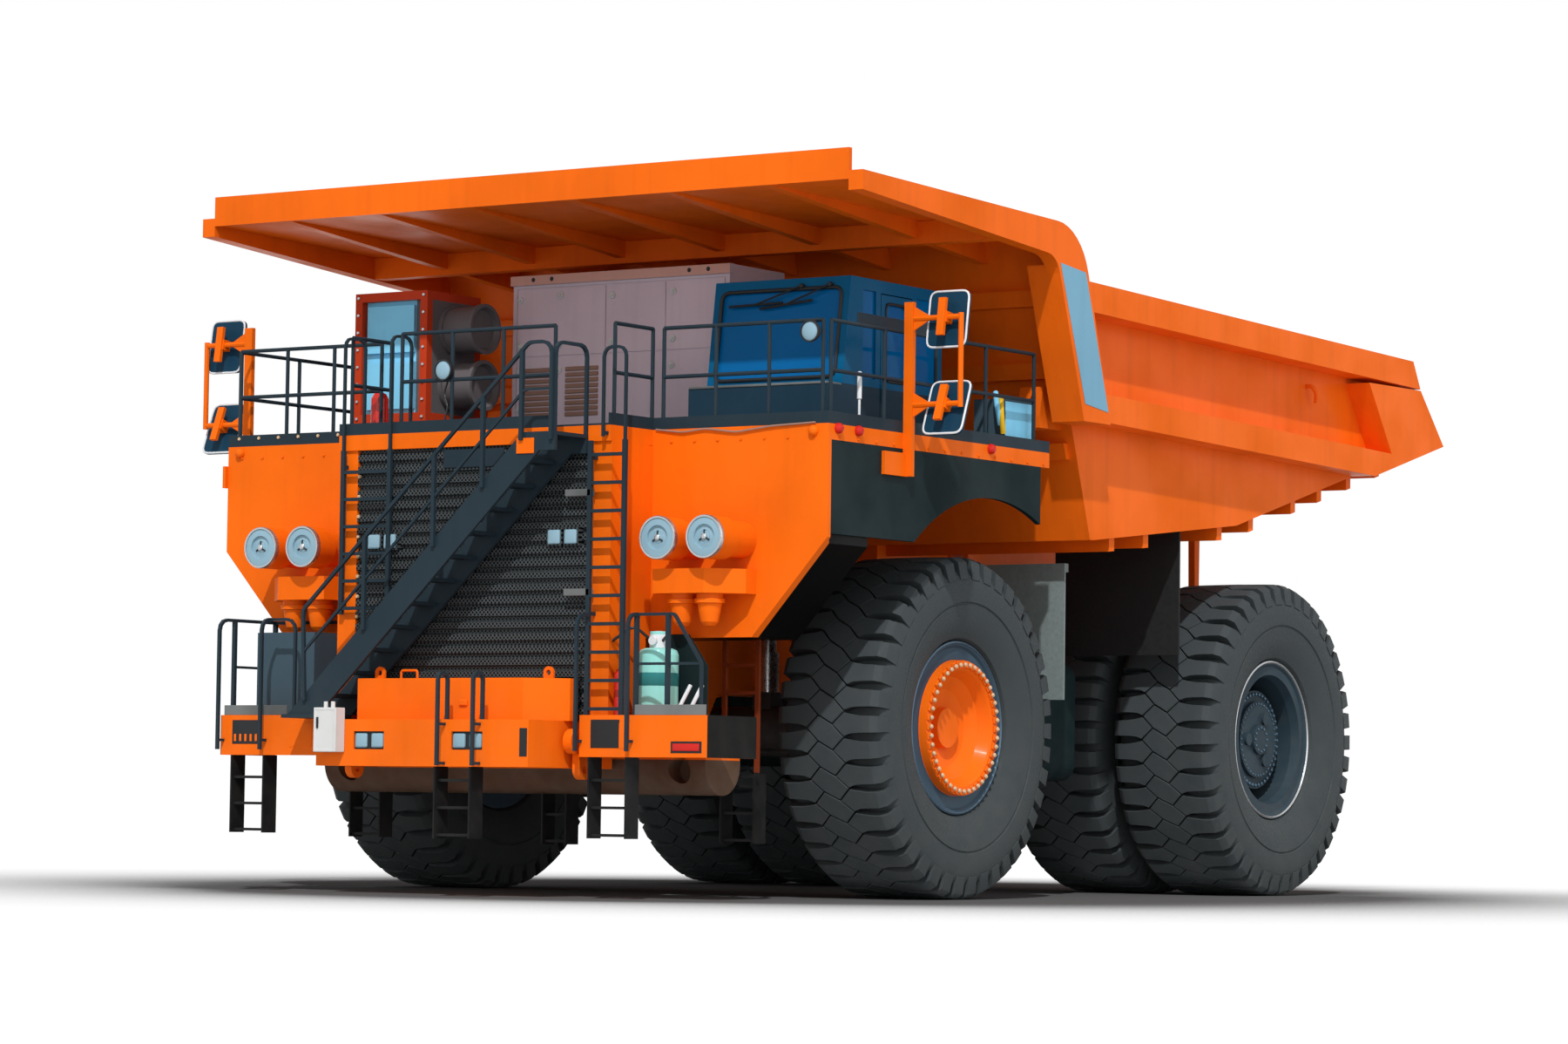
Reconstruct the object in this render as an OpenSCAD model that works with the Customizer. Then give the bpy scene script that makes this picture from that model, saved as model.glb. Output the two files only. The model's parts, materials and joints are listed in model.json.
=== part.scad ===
// Mining dump truck with a tipping body, steered front wheels and twin rear wheels.
// Millimetres. The front faces -Y, the cab stands on the +X side and Z is up.

/* [Wheels] */
// Radius of a tyre out to its tread
tyre_r = 1900; // [1800:10:1960]
// Width of a tyre across its shoulders
tyre_w = 1350; // [1250:10:1380]
// Number of lugs round each shoulder of a tyre
lugs = 42; // [36:1:48]
// Height of the lugs above the floor of the grooves
lug_h = 115; // [90:5:120]
// Half width of the closed band in the middle of the tread
band_w = 235; // [200:5:260]
// Radius of the seat that a tyre's bead sits on
bead_r = 800; // [740:10:840]
// Width of a rim between its flanges
rim_w = 914; // [860:2:960]
// Height of a rim's flange above the bead seat
flange_h = 160; // [120:5:180]
// Thickness of a rim's flange
flange_t = 50; // [30:1:60]
// Thickness of a rim's barrel
barrel_t = 45; // [30:1:60]
// Distance between the front and rear axles
wheelbase = 6600; // [6500:10:6800]
// Middle of a front tyre from the centre line
front_track = 3175; // [3120:5:3300]
// Middle of an outer rear tyre from the centre line
rear_track = 3625; // [3600:5:3700]
// Gap between twin rear tyres
twin_gap = 200; // [160:5:220]
// Gap left between parts that fit together
fit = 0.5; // [0.3:0.1:1]

/* [Steering and axles] */
// Kingpin from the centre line
king_x = 2350; // [2300:5:2380]
// Radius of a kingpin
king_r = 100; // [80:1:120]
// Height of a knuckle's boss round the kingpin
boss_h = 600; // [540:10:640]
// Radius of a knuckle's boss
boss_r = 180; // [150:5:190]
// Radius of a front spindle
spindle_r = 200; // [160:5:210]
// Length of a steering arm behind the kingpin
arm_l = 650; // [600:10:680]
// Half width of a steering arm
arm_w = 70; // [50:1:75]
// Radius of the ball pin at the end of a steering arm
ball_r = 40; // [30:1:45]
// Radius of the tie rod
tie_r = 60; // [40:1:65]
// Radius of the front axle's beam
beam_r = 240; // [200:5:260]
// Radius of the rear axle's housing
housing_r = 560; // [500:10:570]
// Radius of a rear spindle
rear_spindle_r = 540; // [480:10:550]
// Radius of a suspension strut
strut_r = 125; // [100:5:130]
// Middle of the suspension struts from the centre line
strut_x = 1150; // [1130:5:1160]
// Clearance round parts that turn
turn_gap = 8; // [6:1:20]

/* [Frame] */
// Inner face of a frame rail from the centre line
rail_x = 600; // [560:5:620]
// Width of a frame rail
rail_w = 340; // [300:5:350]
// Height of the frame's top at the rear
frame_top = 3540; // [3480:10:3560]
// Depth of the frame rails at the rear
frame_h = 1040; // [900:10:1060]
// Height of the hinge that the body tips on
tip_z = 3320; // [3300:5:3330]
// Distance of the tipping hinge behind the rear axle
tip_back = 1750; // [1700:10:1800]
// Radius of the tipping hinge's pin
tip_pin_r = 90; // [70:1:100]
// Radius of the frame's boss round the tipping pin
tip_boss_r = 215; // [190:5:220]
// Radius of the cross tube below the bumper
cross_r = 330; // [280:5:335]

/* [Bumper and nose] */
// Front face of the middle bumper from the front axle
bumper_y = -4910; // [-5000:10:-4860]
// Half width of the middle bumper
bumper_x = 1430; // [1380:10:1440]
// Underside of the middle bumper
bumper_z = 1380; // [1340:10:1420]
// Top of the middle bumper
bumper_top = 1880; // [1860:10:1890]
// Front face of the side steps from the front axle
step_y = -4306; // [-4340:2:-4290]
// Back face of the bumper and the steps
step_back = -3400; // [-3420:5:-3390]
// Inner end of a side step
step_in = 1650; // [1630:5:1700]
// Outer end of a side step
step_out = 3300; // [3250:10:3350]
// Underside of the side steps
step_z = 1498; // [1460:2:1540]
// Top of the side steps
step_top = 1940; // [1920:5:1960]
// Thickness of bumper plates
plate_t = 40; // [30:1:50]
// Half width of the nose
nose_x = 1850; // [1800:10:1870]
// Half width of the grille
grille_x = 1600; // [1560:10:1630]
// Front face of the grille's frame
nose_y = -4070; // [-4090:5:-4050]
// Front face of the fenders
fender_y = -3321; // [-3360:5:-3310]
// Back face of the fender boxes
fender_back = -2450; // [-2500:10:-2445]
// Lowest edge of the fenders
fender_z = 2789; // [2760:5:2860]
// Height where a fender's outer edge starts to slant inward
fender_slant_z = 3830; // [3780:10:3860]
// Where a fender's slant ends at the bottom
fender_slant_x = 3168; // [3140:4:3240]
// Thickness of fender and skirt plates
skin_t = 60; // [40:2:60]

/* [Deck] */
// Top of the deck
deck_z = 5050; // [5030:5:5080]
// Half width of the deck
deck_x = 4109; // [4090:2:4120]
// Front edge of the deck over the nose
deck_y = -4100; // [-4130:5:-4095]
// Rear edge of the deck
deck_back = 1242; // [1200:5:1260]
// Thickness of the deck's plate
deck_t = 20; // [12:1:30]
// Underside of the beam round the deck
band_z = 4860; // [4840:5:4900]
// Height of the kick board round the deck
kick_h = 110; // [80:5:130]
// Thickness of the kick board
kick_t = 30; // [20:1:35]
// Height of the handrails above the deck
rail_h = 1080; // [1000:10:1120]
// Radius of a handrail's tube
tube_r = 22; // [18:1:25]
// Lower edge of the skirts in front of the wheels
skirt_z = 3870; // [3850:5:3900]
// Radius of the wheel arch in the skirts
arch_r = 2540; // [2500:10:2560]
// Rear edge of the skirts
skirt_back = 1052; // [1000:5:1080]

/* [Cab] */
// Inner side of the cab from the centre line
cab_x = 1600; // [1570:5:1620]
// Width of the cab
cab_w = 1780; // [1740:10:1790]
// Front wall of the cab below the windscreen
cab_y = -1950; // [-1980:5:-1940]
// Front edge of the cab's roof
roof_y = -1800; // [-1830:5:-1780]
// Rear wall of the cab
cab_back = 80; // [40:5:110]
// Height of the cab
cab_h = 1730; // [1680:10:1750]
// Height of the windscreen's foot above the deck
screen_z = 590; // [560:5:620]
// Thickness of the cab's walls
wall_t = 60; // [50:1:70]
// Thickness of window glass
glass_t = 14; // [10:1:20]
// Width of a corner post beside a window
post_w = 110; // [90:5:130]
// Width of the door
door_w = 620; // [580:5:630]
// Rear edge of the door, where its hinge sits
door_y = -560; // [-600:5:-540]
// Gap round the door
door_gap = 12; // [10:0.5:16]
// Radius of the door's hinge
hinge_r = 16; // [12:1:18]

/* [On the deck] */
// Outer face of the control cabinet at the truck's right
cabinet_x0 = -1660; // [-1700:10:-1640]
// Inner face of the control cabinet beside the cab
cabinet_x1 = 1370; // [1320:10:1390]
// Front face of the control cabinet
cabinet_y = -1200; // [-1230:10:-1170]
// Depth of the control cabinet
cabinet_d = 1100; // [1000:10:1140]
// Height of the control cabinet
cabinet_h = 2030; // [1900:10:2060]
// Height of the rack for the braking resistors
rack_h = 1800; // [1750:10:1850]
// Side of a square post of the rack
rack_post = 100; // [80:2:110]
// Radius of a resistor's blower drum
drum_r = 290; // [240:5:300]
// Length of a resistor's blower drum
drum_l = 470; // [420:5:480]

/* [Body] */
// Height of the body's underside at its front foot
floor_z = 4100; // [4090:5:4150]
// Where the headboard's foot stands behind the front axle
foot_y = 2174; // [2150:2:2200]
// How far the headboard leans forward for each unit of height
head_lean = 0.348; // [0.34:0.002:0.355]
// Thickness of the headboard along the truck
head_t = 70; // [50:2:80]
// Where the floor bends up to the tail
bend_y = 5700; // [5600:20:5800]
// Slope of the floor in front of the bend
floor_a = 5.9; // [5.5:0.1:6.2]
// Slope of the floor behind the bend
tail_a = 14.6; // [14.2:0.1:15]
// Rear tip of the body behind the front axle
tail_y = 10700; // [10600:10:10800]
// Thickness of the floor
floor_t = 60; // [40:2:80]
// Inner face of the body's side wall
side_x = 4060; // [4040:5:4070]
// Thickness of the body's side wall
side_t = 50; // [40:1:60]
// Outer face of the belt and the rim along the body
belt_x = 4447; // [4420:1:4460]
// Outer face of the post and the canopy's side
wing_x = 4527; // [4510:1:4540]
// Half width of the canopy's front
canopy_x = 4350; // [4330:5:4360]
// Underside of the canopy's plate at its front
canopy_z = 7600; // [7580:5:7620]
// Fall of the canopy's plate for each unit toward the rear
canopy_fall = 0.0245; // [0.02:0.0005:0.03]
// Front face of the canopy
canopy_y = -3367; // [-3420:5:-3340]
// Top of the lip at the canopy's front
lip_z = 7923; // [7880:5:7960]
// Outer face of the beams under the floor
bolster_out = 1010; // [1000:2:1020]
// Inner face of the beams under the floor
bolster_in = 530; // [500:2:540]

/* [Hoists] */
// Middle of a hoist from the centre line
hoist_x = 1150; // [1148:1:1156]
// Foot of a hoist behind the front axle
hoist_y = 4600; // [4580:5:4620]
// Height of a hoist's foot
hoist_z = 1500; // [1480:5:1520]
// Head of a hoist behind the front axle
head_y = 4250; // [4240:5:4260]
// Height of a hoist's head
head_z = 3950; // [3940:2:3960]
// Radius of a hoist's barrel
barrel_r = 150; // [140:1:152]
// Radius of a hoist's sleeve
sleeve_r = 112; // [105:1:116]
// Radius of a hoist's rod
rod_r = 75; // [65:1:80]
// Length of a hoist's barrel above its foot
barrel_l = 2000; // [1980:5:2030]
// Half of the space between the two ears at a hoist's head
ear_gap = 90; // [80:1:100]
// Radius of the pins that hold the hoists
pin_r = 70; // [60:1:75]

/* [Hidden] */
$fn = 48;
axle_z = tyre_r;
half_w = tyre_w / 2;
lug_share = 0.69;
lug_shift = -0.354;
flange_x = rim_w / 2 + flange_t;
twin_pitch = tyre_w + twin_gap;
inner_track = rear_track - twin_pitch;
rail_out = rail_x + rail_w;
tip_y = wheelbase + tip_back;
origin_y = -(tail_y + bumper_y - 150) / 2;
deck_under = deck_z - deck_t;
cab_x1 = cab_x + cab_w;
cab_top = deck_z + cab_h;
screen_foot = deck_z + screen_z;
base_y = cab_y - 300;
door_z0 = deck_z + wall_t + 10;
door_z1 = cab_top - 150;
door_y0 = door_y - door_w;
hinge_x = cab_x1 + hinge_r - 4;
hinge_y = door_y - hinge_r + 4;
floor_bend_z = floor_z + (bend_y - foot_y) * tan(floor_a);
function under(y) = y < bend_y ? floor_z + (y - foot_y) * tan(floor_a)
    : floor_bend_z + (y - bend_y) * tan(tail_a);
function head(z) = foot_y - (z - floor_z) * head_lean;
function plate(y) = canopy_z - (y - canopy_y) * canopy_fall;
function meet(off) = (canopy_z + canopy_fall * (canopy_y - foot_y - head_lean * floor_z - off))
    / (1 - canopy_fall * head_lean);
function arc(cy, cz, r, a0, a1, n) =
    [for (i = [0:n]) [cy + r * cos(a0 + (a1 - a0) * i / n), cz + r * sin(a0 + (a1 - a0) * i / n)]];
function unit(v) = v / norm(v);
// Corner b between a and c, rounded by radius r in n steps
function round_corner(a, b, c, r, n) =
    let (u = unit(a - b), v = unit(c - b), h = acos(u * v) / 2, d = r / tan(h),
         m = b + unit(u + v) * r / sin(h), p = b + u * d, q = b + v * d,
         a0 = atan2(p[1] - m[1], p[0] - m[0]), a1 = atan2(q[1] - m[1], q[0] - m[0]),
         w = a1 - a0 > 180 ? a1 - a0 - 360 : a1 - a0 < -180 ? a1 - a0 + 360 : a1 - a0)
    [for (i = [0:n]) m + r * [cos(a0 + w * i / n), sin(a0 + w * i / n)]];
function left_of(p, q) = let (d = unit(q - p)) [-d[1], d[0]];
function mitre(path, i) =
    let (n = len(path) - 1, a = left_of(path[max(i - 1, 0)], path[max(i, 1)]),
         b = left_of(path[min(i, n - 1)], path[min(i + 1, n)]), m = unit(a + b)) m / (m * a);
// Outline of a bar of half width r along a path
function strip(path, r) = concat([for (i = [0:len(path) - 1]) path[i] + r * mitre(path, i)],
    [for (i = [len(path) - 1:-1:0]) path[i] - r * mitre(path, i)]);
// Path with its inner corners rounded by radius r
function bent(path, r) = concat([path[0]],
    [for (i = [1:len(path) - 2]) each round_corner(path[i - 1], path[i], path[i + 1], r, 3)],
    [path[len(path) - 1]]);
post_front = 430;
post_back = 173;
post_foot = 5385;
knee = [1200, 7572];
elbow = [666, 7191];
function post_rear(z) = head(post_foot) + post_back
    + (knee[0] - head(post_foot) - post_back) * (z - post_foot) / (knee[1] - post_foot);
wing_low = 7469;
wing_high = 7679;
belt_z = 5580;
belt_h = 322;
rim_z = 6813;
rim_h = 338;
belt_fall = 0.0236;
mast_x = deck_x + 110;
mirror_out = 4810;
mirror_r = 30;
mirror_off = 85;
mirror_arm = [5330, 6262];
mirror_tilt = [21, 8];
left_mirror_y = -1830;
right_mirror_y = -2920;
stair_near = -4700;
stair_t = 40;
stair_foot_x = -2014;
stair_rise = 0.951;
stair_top = deck_z - 120;
landing_x = 1560;
lamp_y = -4010;
lamp_z = 3820;
lamp_r = 230;
lamp_side = 195;
lamp_pitch = 220;
grille_lamp_x = [-1410, 1045];
bumper_lamp_x = [-915, 410];
bumper_lamp_z = bumper_z + 178;
hoist_a = atan2(hoist_y - head_y, head_z - hoist_z);
hoist_l = norm([hoist_y - head_y, head_z - hoist_z]);
tie_z = axle_z - 265;
cross_y = -3000;
cross_z = step_z - 60;
hung_d = 230;
tank_y0 = foot_y + 546;
tank_y1 = min(wheelbase - tyre_r - 150, hoist_y - 650);
flap_y = wheelbase - tyre_r - 220;
strut_pad = axle_z + 400;
strut_top = 3150;
rear_strut_y = wheelbase + 700;
rear_pad = axle_z + 300;

// Block between two corners
module box(x0, x1, y0, y1, z0, z1) {
    translate([x0, y0, z0]) cube([x1 - x0, y1 - y0, z1 - z0]);
}

// Outline in Y and Z drawn out along X
module along_x(pts, x0, x1) {
    translate([x0, 0, 0]) rotate([90, 0, 90]) linear_extrude(x1 - x0) polygon(pts);
}

// Outline in X and Z drawn out along Y
module along_y(pts, y0, y1) {
    translate([0, y1, 0]) rotate([90, 0, 0]) linear_extrude(y1 - y0) polygon(pts);
}

// Outline in X and Y drawn out along Z
module along_z(pts, z0, z1) {
    translate([0, 0, z0]) linear_extrude(z1 - z0) polygon(pts);
}

// The children and their mirror image on the other side
module both() {
    children();
    mirror([1, 0, 0]) children();
}

// Eight-sided tube from one point to another
module tube(p, q, r) {
    d = q - p;
    translate(p) rotate([0, acos(d[2] / norm(d)), atan2(d[1], d[0])]) cylinder(h = norm(d), r = r, $fn = 8);
}

module rod_x(x0, x1, y, z, r) {
    translate([x0, y, z]) rotate([0, 90, 0]) cylinder(h = x1 - x0, r = r);
}

module rod_y(x, y0, y1, z, r) {
    translate([x, y1, z]) rotate([90, 0, 0]) cylinder(h = y1 - y0, r = r);
}

module rod_z(x, y, z0, z1, r) {
    translate([x, y, z0]) cylinder(h = z1 - z0, r = r);
}

// Ring about the X axis from an outline of radius and width
module turned(pts) {
    rotate([0, 90, 0]) rotate_extrude($fn = 96) polygon(pts);
}

// Moves a piece into the shared place of the whole truck
module placed() {
    translate([0, origin_y, 0]) children();
}

// Carcass of a tyre with the closed band in the middle of its tread
module carcass() {
    seat = rim_w / 2 - fit;
    lip = bead_r + flange_h + 15;
    floor_r = tyre_r - lug_h;
    half = [[bead_r + fit, seat], [lip, seat], [lip, seat + 45], [tyre_r - 700, half_w - 20],
        [tyre_r - 500, half_w], [tyre_r - 270, half_w - 8], [tyre_r - 190, half_w - 40],
        [floor_r, half_w - 120], [floor_r, band_w], [tyre_r, band_w]];
    turned(concat(half, [for (i = [len(half) - 1:-1:0]) [half[i][0], -half[i][1]]]));
}

// Shoulder lugs of one side, cut to the slope of the shoulder
module shoulder_lugs() {
    root_r = tyre_r - lug_h - 100;
    tip_r = tyre_r - 4;
    pitch = 360 / lugs;
    lug = [[root_r, -0.4], [tip_r, -lug_share / 2], [tip_r, lug_share / 2], [root_r, 0.4]];
    teeth = [for (i = [0:lugs - 1], c = lug) c[0] * [cos((i + c[1]) * pitch), sin((i + c[1]) * pitch)]];
    intersection() {
        along_x(teeth, band_w - 10, half_w);
        turned([[root_r - 50, band_w - 20], [tyre_r + 10, band_w - 20], [tyre_r + 10, half_w - 135],
            [tyre_r - 65, half_w - 34], [root_r - 50, half_w - 14]]);
    }
}

// Tyre about its own middle, its two rows of lugs set apart by a share of their pitch
module tyre() {
    union() {
        carcass();
        shoulder_lugs();
        rotate([lug_shift * 360 / lugs, 0, 0]) mirror([1, 0, 0]) shoulder_lugs();
    }
}

// Rim's outline from the inner flange round the bead seat to the outer lip and the gutter inside it
function rim_outline(bore) = [[bore, -flange_x], [bead_r + flange_h, -flange_x],
    [bead_r + flange_h, -rim_w / 2], [bead_r, -rim_w / 2], [bead_r, rim_w / 2],
    [bead_r + flange_h, rim_w / 2], [bead_r + flange_h, flange_x], [bead_r + flange_h - 42, flange_x],
    [bead_r + flange_h - 70, flange_x - 27], [bead_r - 10, flange_x - 27]];

// Front rim with its bowl-shaped hub, outward along X
module front_rim() {
    bore = bead_r - barrel_t;
    turned(concat(rim_outline(bore), [[bore - 5, flange_x - 27], [bore - 5, flange_x + 70],
        [bore - 100, flange_x + 70], [bore - 120, flange_x + 45], [bore - 185, flange_x - 80],
        [bore - 325, flange_x - 170], [bore - 525, flange_x - 205], [bore - 535, flange_x - 115],
        [0, flange_x - 115], [0, 200], [spindle_r + fit, 200], [spindle_r + fit, -300],
        [spindle_r + 100, -300], [spindle_r + 100, 240], [bore - 335, 270], [bore - 200, 350],
        [bore - 120, 370], [bore, 370]]));
}

// Twin rims on one hub with its cover, cap and three round bosses, outward along X
module rear_rims() {
    bore = bead_r - barrel_t;
    drum = rear_spindle_r + 60;
    face = rear_track + flange_x - 230;
    for (x = [inner_track, rear_track])
        translate([x, 0, 0])
            turned(concat(rim_outline(bore), [[bore, flange_x - 130], [bore, -150], [drum, -150],
                [drum, -220], [bore, -220]]));
    union() {
        turned([[rear_spindle_r + fit, inner_track - 300], [drum, inner_track - 300], [drum, face],
            [465, face], [465, face + 45], [180, face + 45], [180, face + 85], [0, face + 85],
            [0, face - 70], [rear_spindle_r + fit, face - 70]]);
        for (a = [180, 60, -60])
            rod_x(face + 40, face + 80, 290 * cos(a), 290 * sin(a), 75);
    }
}

module front_wheel_at(side) {
    placed() translate([side * front_track, 0, axle_z]) mirror([side < 0 ? 1 : 0, 0, 0]) children();
}

module rear_wheel_at(side) {
    placed() translate([0, wheelbase, axle_z]) mirror([side < 0 ? 1 : 0, 0, 0]) children();
}

module front_tyre_left() { color([0.08, 0.08, 0.09]) front_wheel_at(1) tyre(); }
module front_tyre_right() { color([0.08, 0.08, 0.09]) front_wheel_at(-1) tyre(); }
module front_rim_left() { color([0.85, 0.3, 0.05]) front_wheel_at(1) front_rim(); }
module front_rim_right() { color([0.85, 0.3, 0.05]) front_wheel_at(-1) front_rim(); }

module rear_tyre_pair() {
    for (x = [inner_track, rear_track]) translate([x, 0, 0]) tyre();
}

module rear_tyres_left() { color([0.08, 0.08, 0.09]) rear_wheel_at(1) rear_tyre_pair(); }
module rear_tyres_right() { color([0.08, 0.08, 0.09]) rear_wheel_at(-1) rear_tyre_pair(); }
module rear_rims_left() { color([0.25, 0.3, 0.33]) rear_wheel_at(1) rear_rims(); }
module rear_rims_right() { color([0.25, 0.3, 0.33]) rear_wheel_at(-1) rear_rims(); }

// Knuckle with spindle, brake and steering arm, on the +X side
module knuckle() {
    difference() {
        union() {
            rod_z(king_x, 0, axle_z - boss_h / 2, axle_z + boss_h / 2, boss_r);
            rod_x(king_x, front_track + 150, 0, axle_z, spindle_r);
            rod_x(king_x + 210, front_track - 340, 0, axle_z, 420);
            box(king_x - arm_w, king_x + arm_w, 0, arm_l, tie_z + 65, tie_z + 185);
            rod_z(king_x, arm_l, tie_z + 65, tie_z + 185, arm_w);
            rod_z(king_x, arm_l, tie_z - 70, tie_z + 70, ball_r);
        }
        rod_z(king_x, 0, axle_z - boss_h, axle_z + boss_h, king_r + fit);
    }
}

module knuckle_left() { color([0.3, 0.3, 0.32]) placed() knuckle(); }
module knuckle_right() { color([0.3, 0.3, 0.32]) placed() mirror([1, 0, 0]) knuckle(); }

module tie_rod() {
    color([0.3, 0.3, 0.32]) placed() difference() {
        union() {
            rod_x(-king_x, king_x, arm_l, tie_z, tie_r - 10);
            both() rod_z(king_x, arm_l, tie_z - 55, tie_z + 55, ball_r + 45);
        }
        both() rod_z(king_x, arm_l, tie_z - 100, tie_z + 100, ball_r + fit);
    }
}

// Front axle with its forked ends and the kingpins
module front_axle() {
    yoke_in = axle_z - boss_h / 2 - turn_gap;
    yoke_up = axle_z + boss_h / 2 + turn_gap;
    color([0.3, 0.3, 0.32]) placed() union() {
        rod_x(-king_x + 260, king_x - 260, 0, axle_z, beam_r);
        both() {
            box(king_x - 380, king_x - boss_r - 40, -130, 130, yoke_in - 120, yoke_up + 120);
            box(king_x - 380, king_x + 130, -130, 130, yoke_in - 120, yoke_in);
            box(king_x - 380, king_x + 130, -130, 130, yoke_up, yoke_up + 120);
            rod_z(king_x, 0, yoke_in - 60, yoke_up + 60, king_r);
            box(strut_x - strut_r, strut_x + strut_r, -strut_r, strut_r, axle_z, strut_pad);
        }
    }
}

// Rear axle with spindles, strut pads and the arm that leads forward to the frame
module rear_axle() {
    color([0.3, 0.3, 0.32]) placed() union() {
        rod_x(-inner_track + half_w + 60, inner_track - half_w - 60, wheelbase, axle_z, housing_r);
        rod_x(-rear_track - 60, rear_track + 60, wheelbase, axle_z, rear_spindle_r);
        rod_y(0, wheelbase, wheelbase + housing_r + 120, axle_z, 420);
        both() box(strut_x - strut_r, strut_x + strut_r, wheelbase + 100, rear_strut_y + strut_r,
            axle_z + 60, rear_pad);
        along_z([[-220, hoist_y - 150], [220, hoist_y - 150], [430, wheelbase], [-430, wheelbase]],
            axle_z - 180, axle_z + 160);
    }
}

module suspension_struts() {
    color([0.55, 0.56, 0.58]) placed() both() {
        rod_z(strut_x, 0, strut_pad, strut_pad + 450, strut_r);
        rod_z(strut_x, 0, strut_pad + 450, strut_top, strut_r - 30);
        rod_z(strut_x, rear_strut_y, rear_pad, rear_pad + 500, strut_r);
        rod_z(strut_x, rear_strut_y, rear_pad + 500, strut_top, strut_r - 30);
    }
}

// Frame rails, cross members, strut brackets, deck columns and hoist feet
module frame() {
    low = axle_z + beam_r + 120;
    rear_low = frame_top - frame_h;
    rail = [[step_back, step_z], [-1200, step_z], [-700, low], [1400, low], [2600, rear_low],
        [tip_y, rear_low + 300], [tip_y, frame_top], [2300, frame_top], [1500, low + 640], [-1200, low + 640],
        [step_back, bumper_top + 420]];
    color([0.85, 0.3, 0.05]) placed() difference() {
        union() {
            both() {
                along_x(rail, rail_x, rail_out);
                rod_x(rail_x, rail_out, tip_y, tip_z, tip_boss_r);
                box(rail_x, rail_out, -220, 220, low + 500, strut_top + 250);
                box(rail_x, strut_x + strut_r + 20, -220, 220, strut_top, strut_top + 250);
                box(rail_x, strut_x + strut_r + 20, rear_strut_y - 180, rear_strut_y + 180,
                    strut_top, strut_top + 220);
                box(rail_x, rail_out, -2000, -1700, low, deck_under);
                box(rail_x, rail_out, 500, 760, low, deck_under);
                along_x([[hoist_y - 350, rear_low + 500], [hoist_y - 150, hoist_z - 130],
                    [hoist_y + 150, hoist_z - 130], [hoist_y + 350, rear_low + 500]],
                    rail_out, rail_out + 45);
                rod_x(rail_out, hoist_x + barrel_r + 30, hoist_y, hoist_z, pin_r);
            }
            rod_x(-2600, 2600, cross_y, cross_z, cross_r);
            box(-rail_x, rail_x, 1450, 1700, low + 100, low + 600);
            box(-rail_x, rail_x, 3300, 3600, rear_low + 200, frame_top - 100);
            box(-rail_x, rail_x, hoist_y - 350, hoist_y - 150, axle_z - 230, rear_low + 300);
            box(-rail_x, rail_x, hoist_y - 350, hoist_y - 150, rear_low, rear_low + 500);
            box(-rail_x, rail_x, tip_y - 850, tip_y - 550, rear_low + 300, frame_top - 100);
        }
        rod_x(-1200, 1200, tip_y, tip_z, tip_pin_r + fit);
        both() rod_y(2260, cross_y - cross_r - 1, cross_y - 100, cross_z - 60, 145);
    }
}

// Lifting eye on a flat top
module lifting_eye() {
    difference() {
        union() {
            box(-65, 65, -15, 15, 0, 66);
            rod_y(0, -15, 15, 66, 65);
        }
        rod_y(0, -16, 16, 65, 30);
    }
}

// Bumper: the middle with its box and lifting eyes, the beam behind it and the steps on both sides
module front_bumper() {
    beam_y = step_back - 500;
    color([0.88, 0.35, 0.05]) placed() {
        difference() {
            union() {
                box(-bumper_x, bumper_x, bumper_y, beam_y - fit, bumper_z, bumper_top);
                along_z([[-1120, deck_y - 20], [-1120, bumper_y + 310], [1120, bumper_y + 310],
                    [1480, step_y + 56], [1480, deck_y - 20]], bumper_top - 1, bumper_top + 450);
            }
            box(plate_t - bumper_x, bumper_x - plate_t, bumper_y + plate_t, beam_y, bumper_z - 1,
                bumper_top - plate_t);
            for (x = bumper_lamp_x)
                box(x, x + lamp_pitch + lamp_side, bumper_y - 1, bumper_y + plate_t - 12, bumper_lamp_z,
                    bumper_lamp_z + lamp_side);
        }
        union() {
            box(-bumper_x, bumper_x, beam_y, step_back, bumper_z, bumper_top);
            box(-step_in, step_in, beam_y, step_back, step_z, bumper_top);
        }
        both() difference() {
            box(step_in + fit, step_out, step_y, step_back, step_z, step_top);
            box(step_in + plate_t, step_out - plate_t, step_y + plate_t, step_back + 1, step_z - 1,
                step_top - plate_t);
            box(2000, 2300, step_y - 1, step_y + plate_t + 1, step_z + 100, step_z + 350);
        }
        for (e = [[-950, bumper_y + 490], [1170, bumper_y + 700]])
            translate([e[0], e[1], bumper_top + 450 + fit]) lifting_eye();
    }
}

// Towing eyes between the middle bumper and the steps, each with a hook below
module tow_eyes() {
    color([0.88, 0.35, 0.05]) placed() both() {
        difference() {
            union() {
                box(bumper_x + 60, bumper_x + 170, step_y + 60, step_back - 500, step_z + 30, step_z + 300);
                rod_x(bumper_x + 60, bumper_x + 170, step_y + 60, step_z + 165, 135);
            }
            rod_x(bumper_x, step_in, step_y + 60, step_z + 165, 55);
        }
        difference() {
            union() {
                box(bumper_x + 70, bumper_x + 160, step_y + 90, step_y + 310, step_z - 130, step_z + 30 - fit);
                rod_x(bumper_x + 70, bumper_x + 160, step_y + 200, step_z - 130, 110);
            }
            rod_x(bumper_x, step_in, step_y + 200, step_z - 130, 45);
        }
    }
}

module engine() {
    color([0.5, 0.45, 0.3]) placed() {
        box(-rail_x, rail_x, step_back + 120, -450, cross_z + cross_r + 32, deck_z - 1350);
    }
}

module radiator() {
    color([0.1, 0.1, 0.1]) placed() box(-grille_x + 10, grille_x - 10, nose_y + 70, step_back - 100,
        bumper_top, band_z - 40);
}

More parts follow.
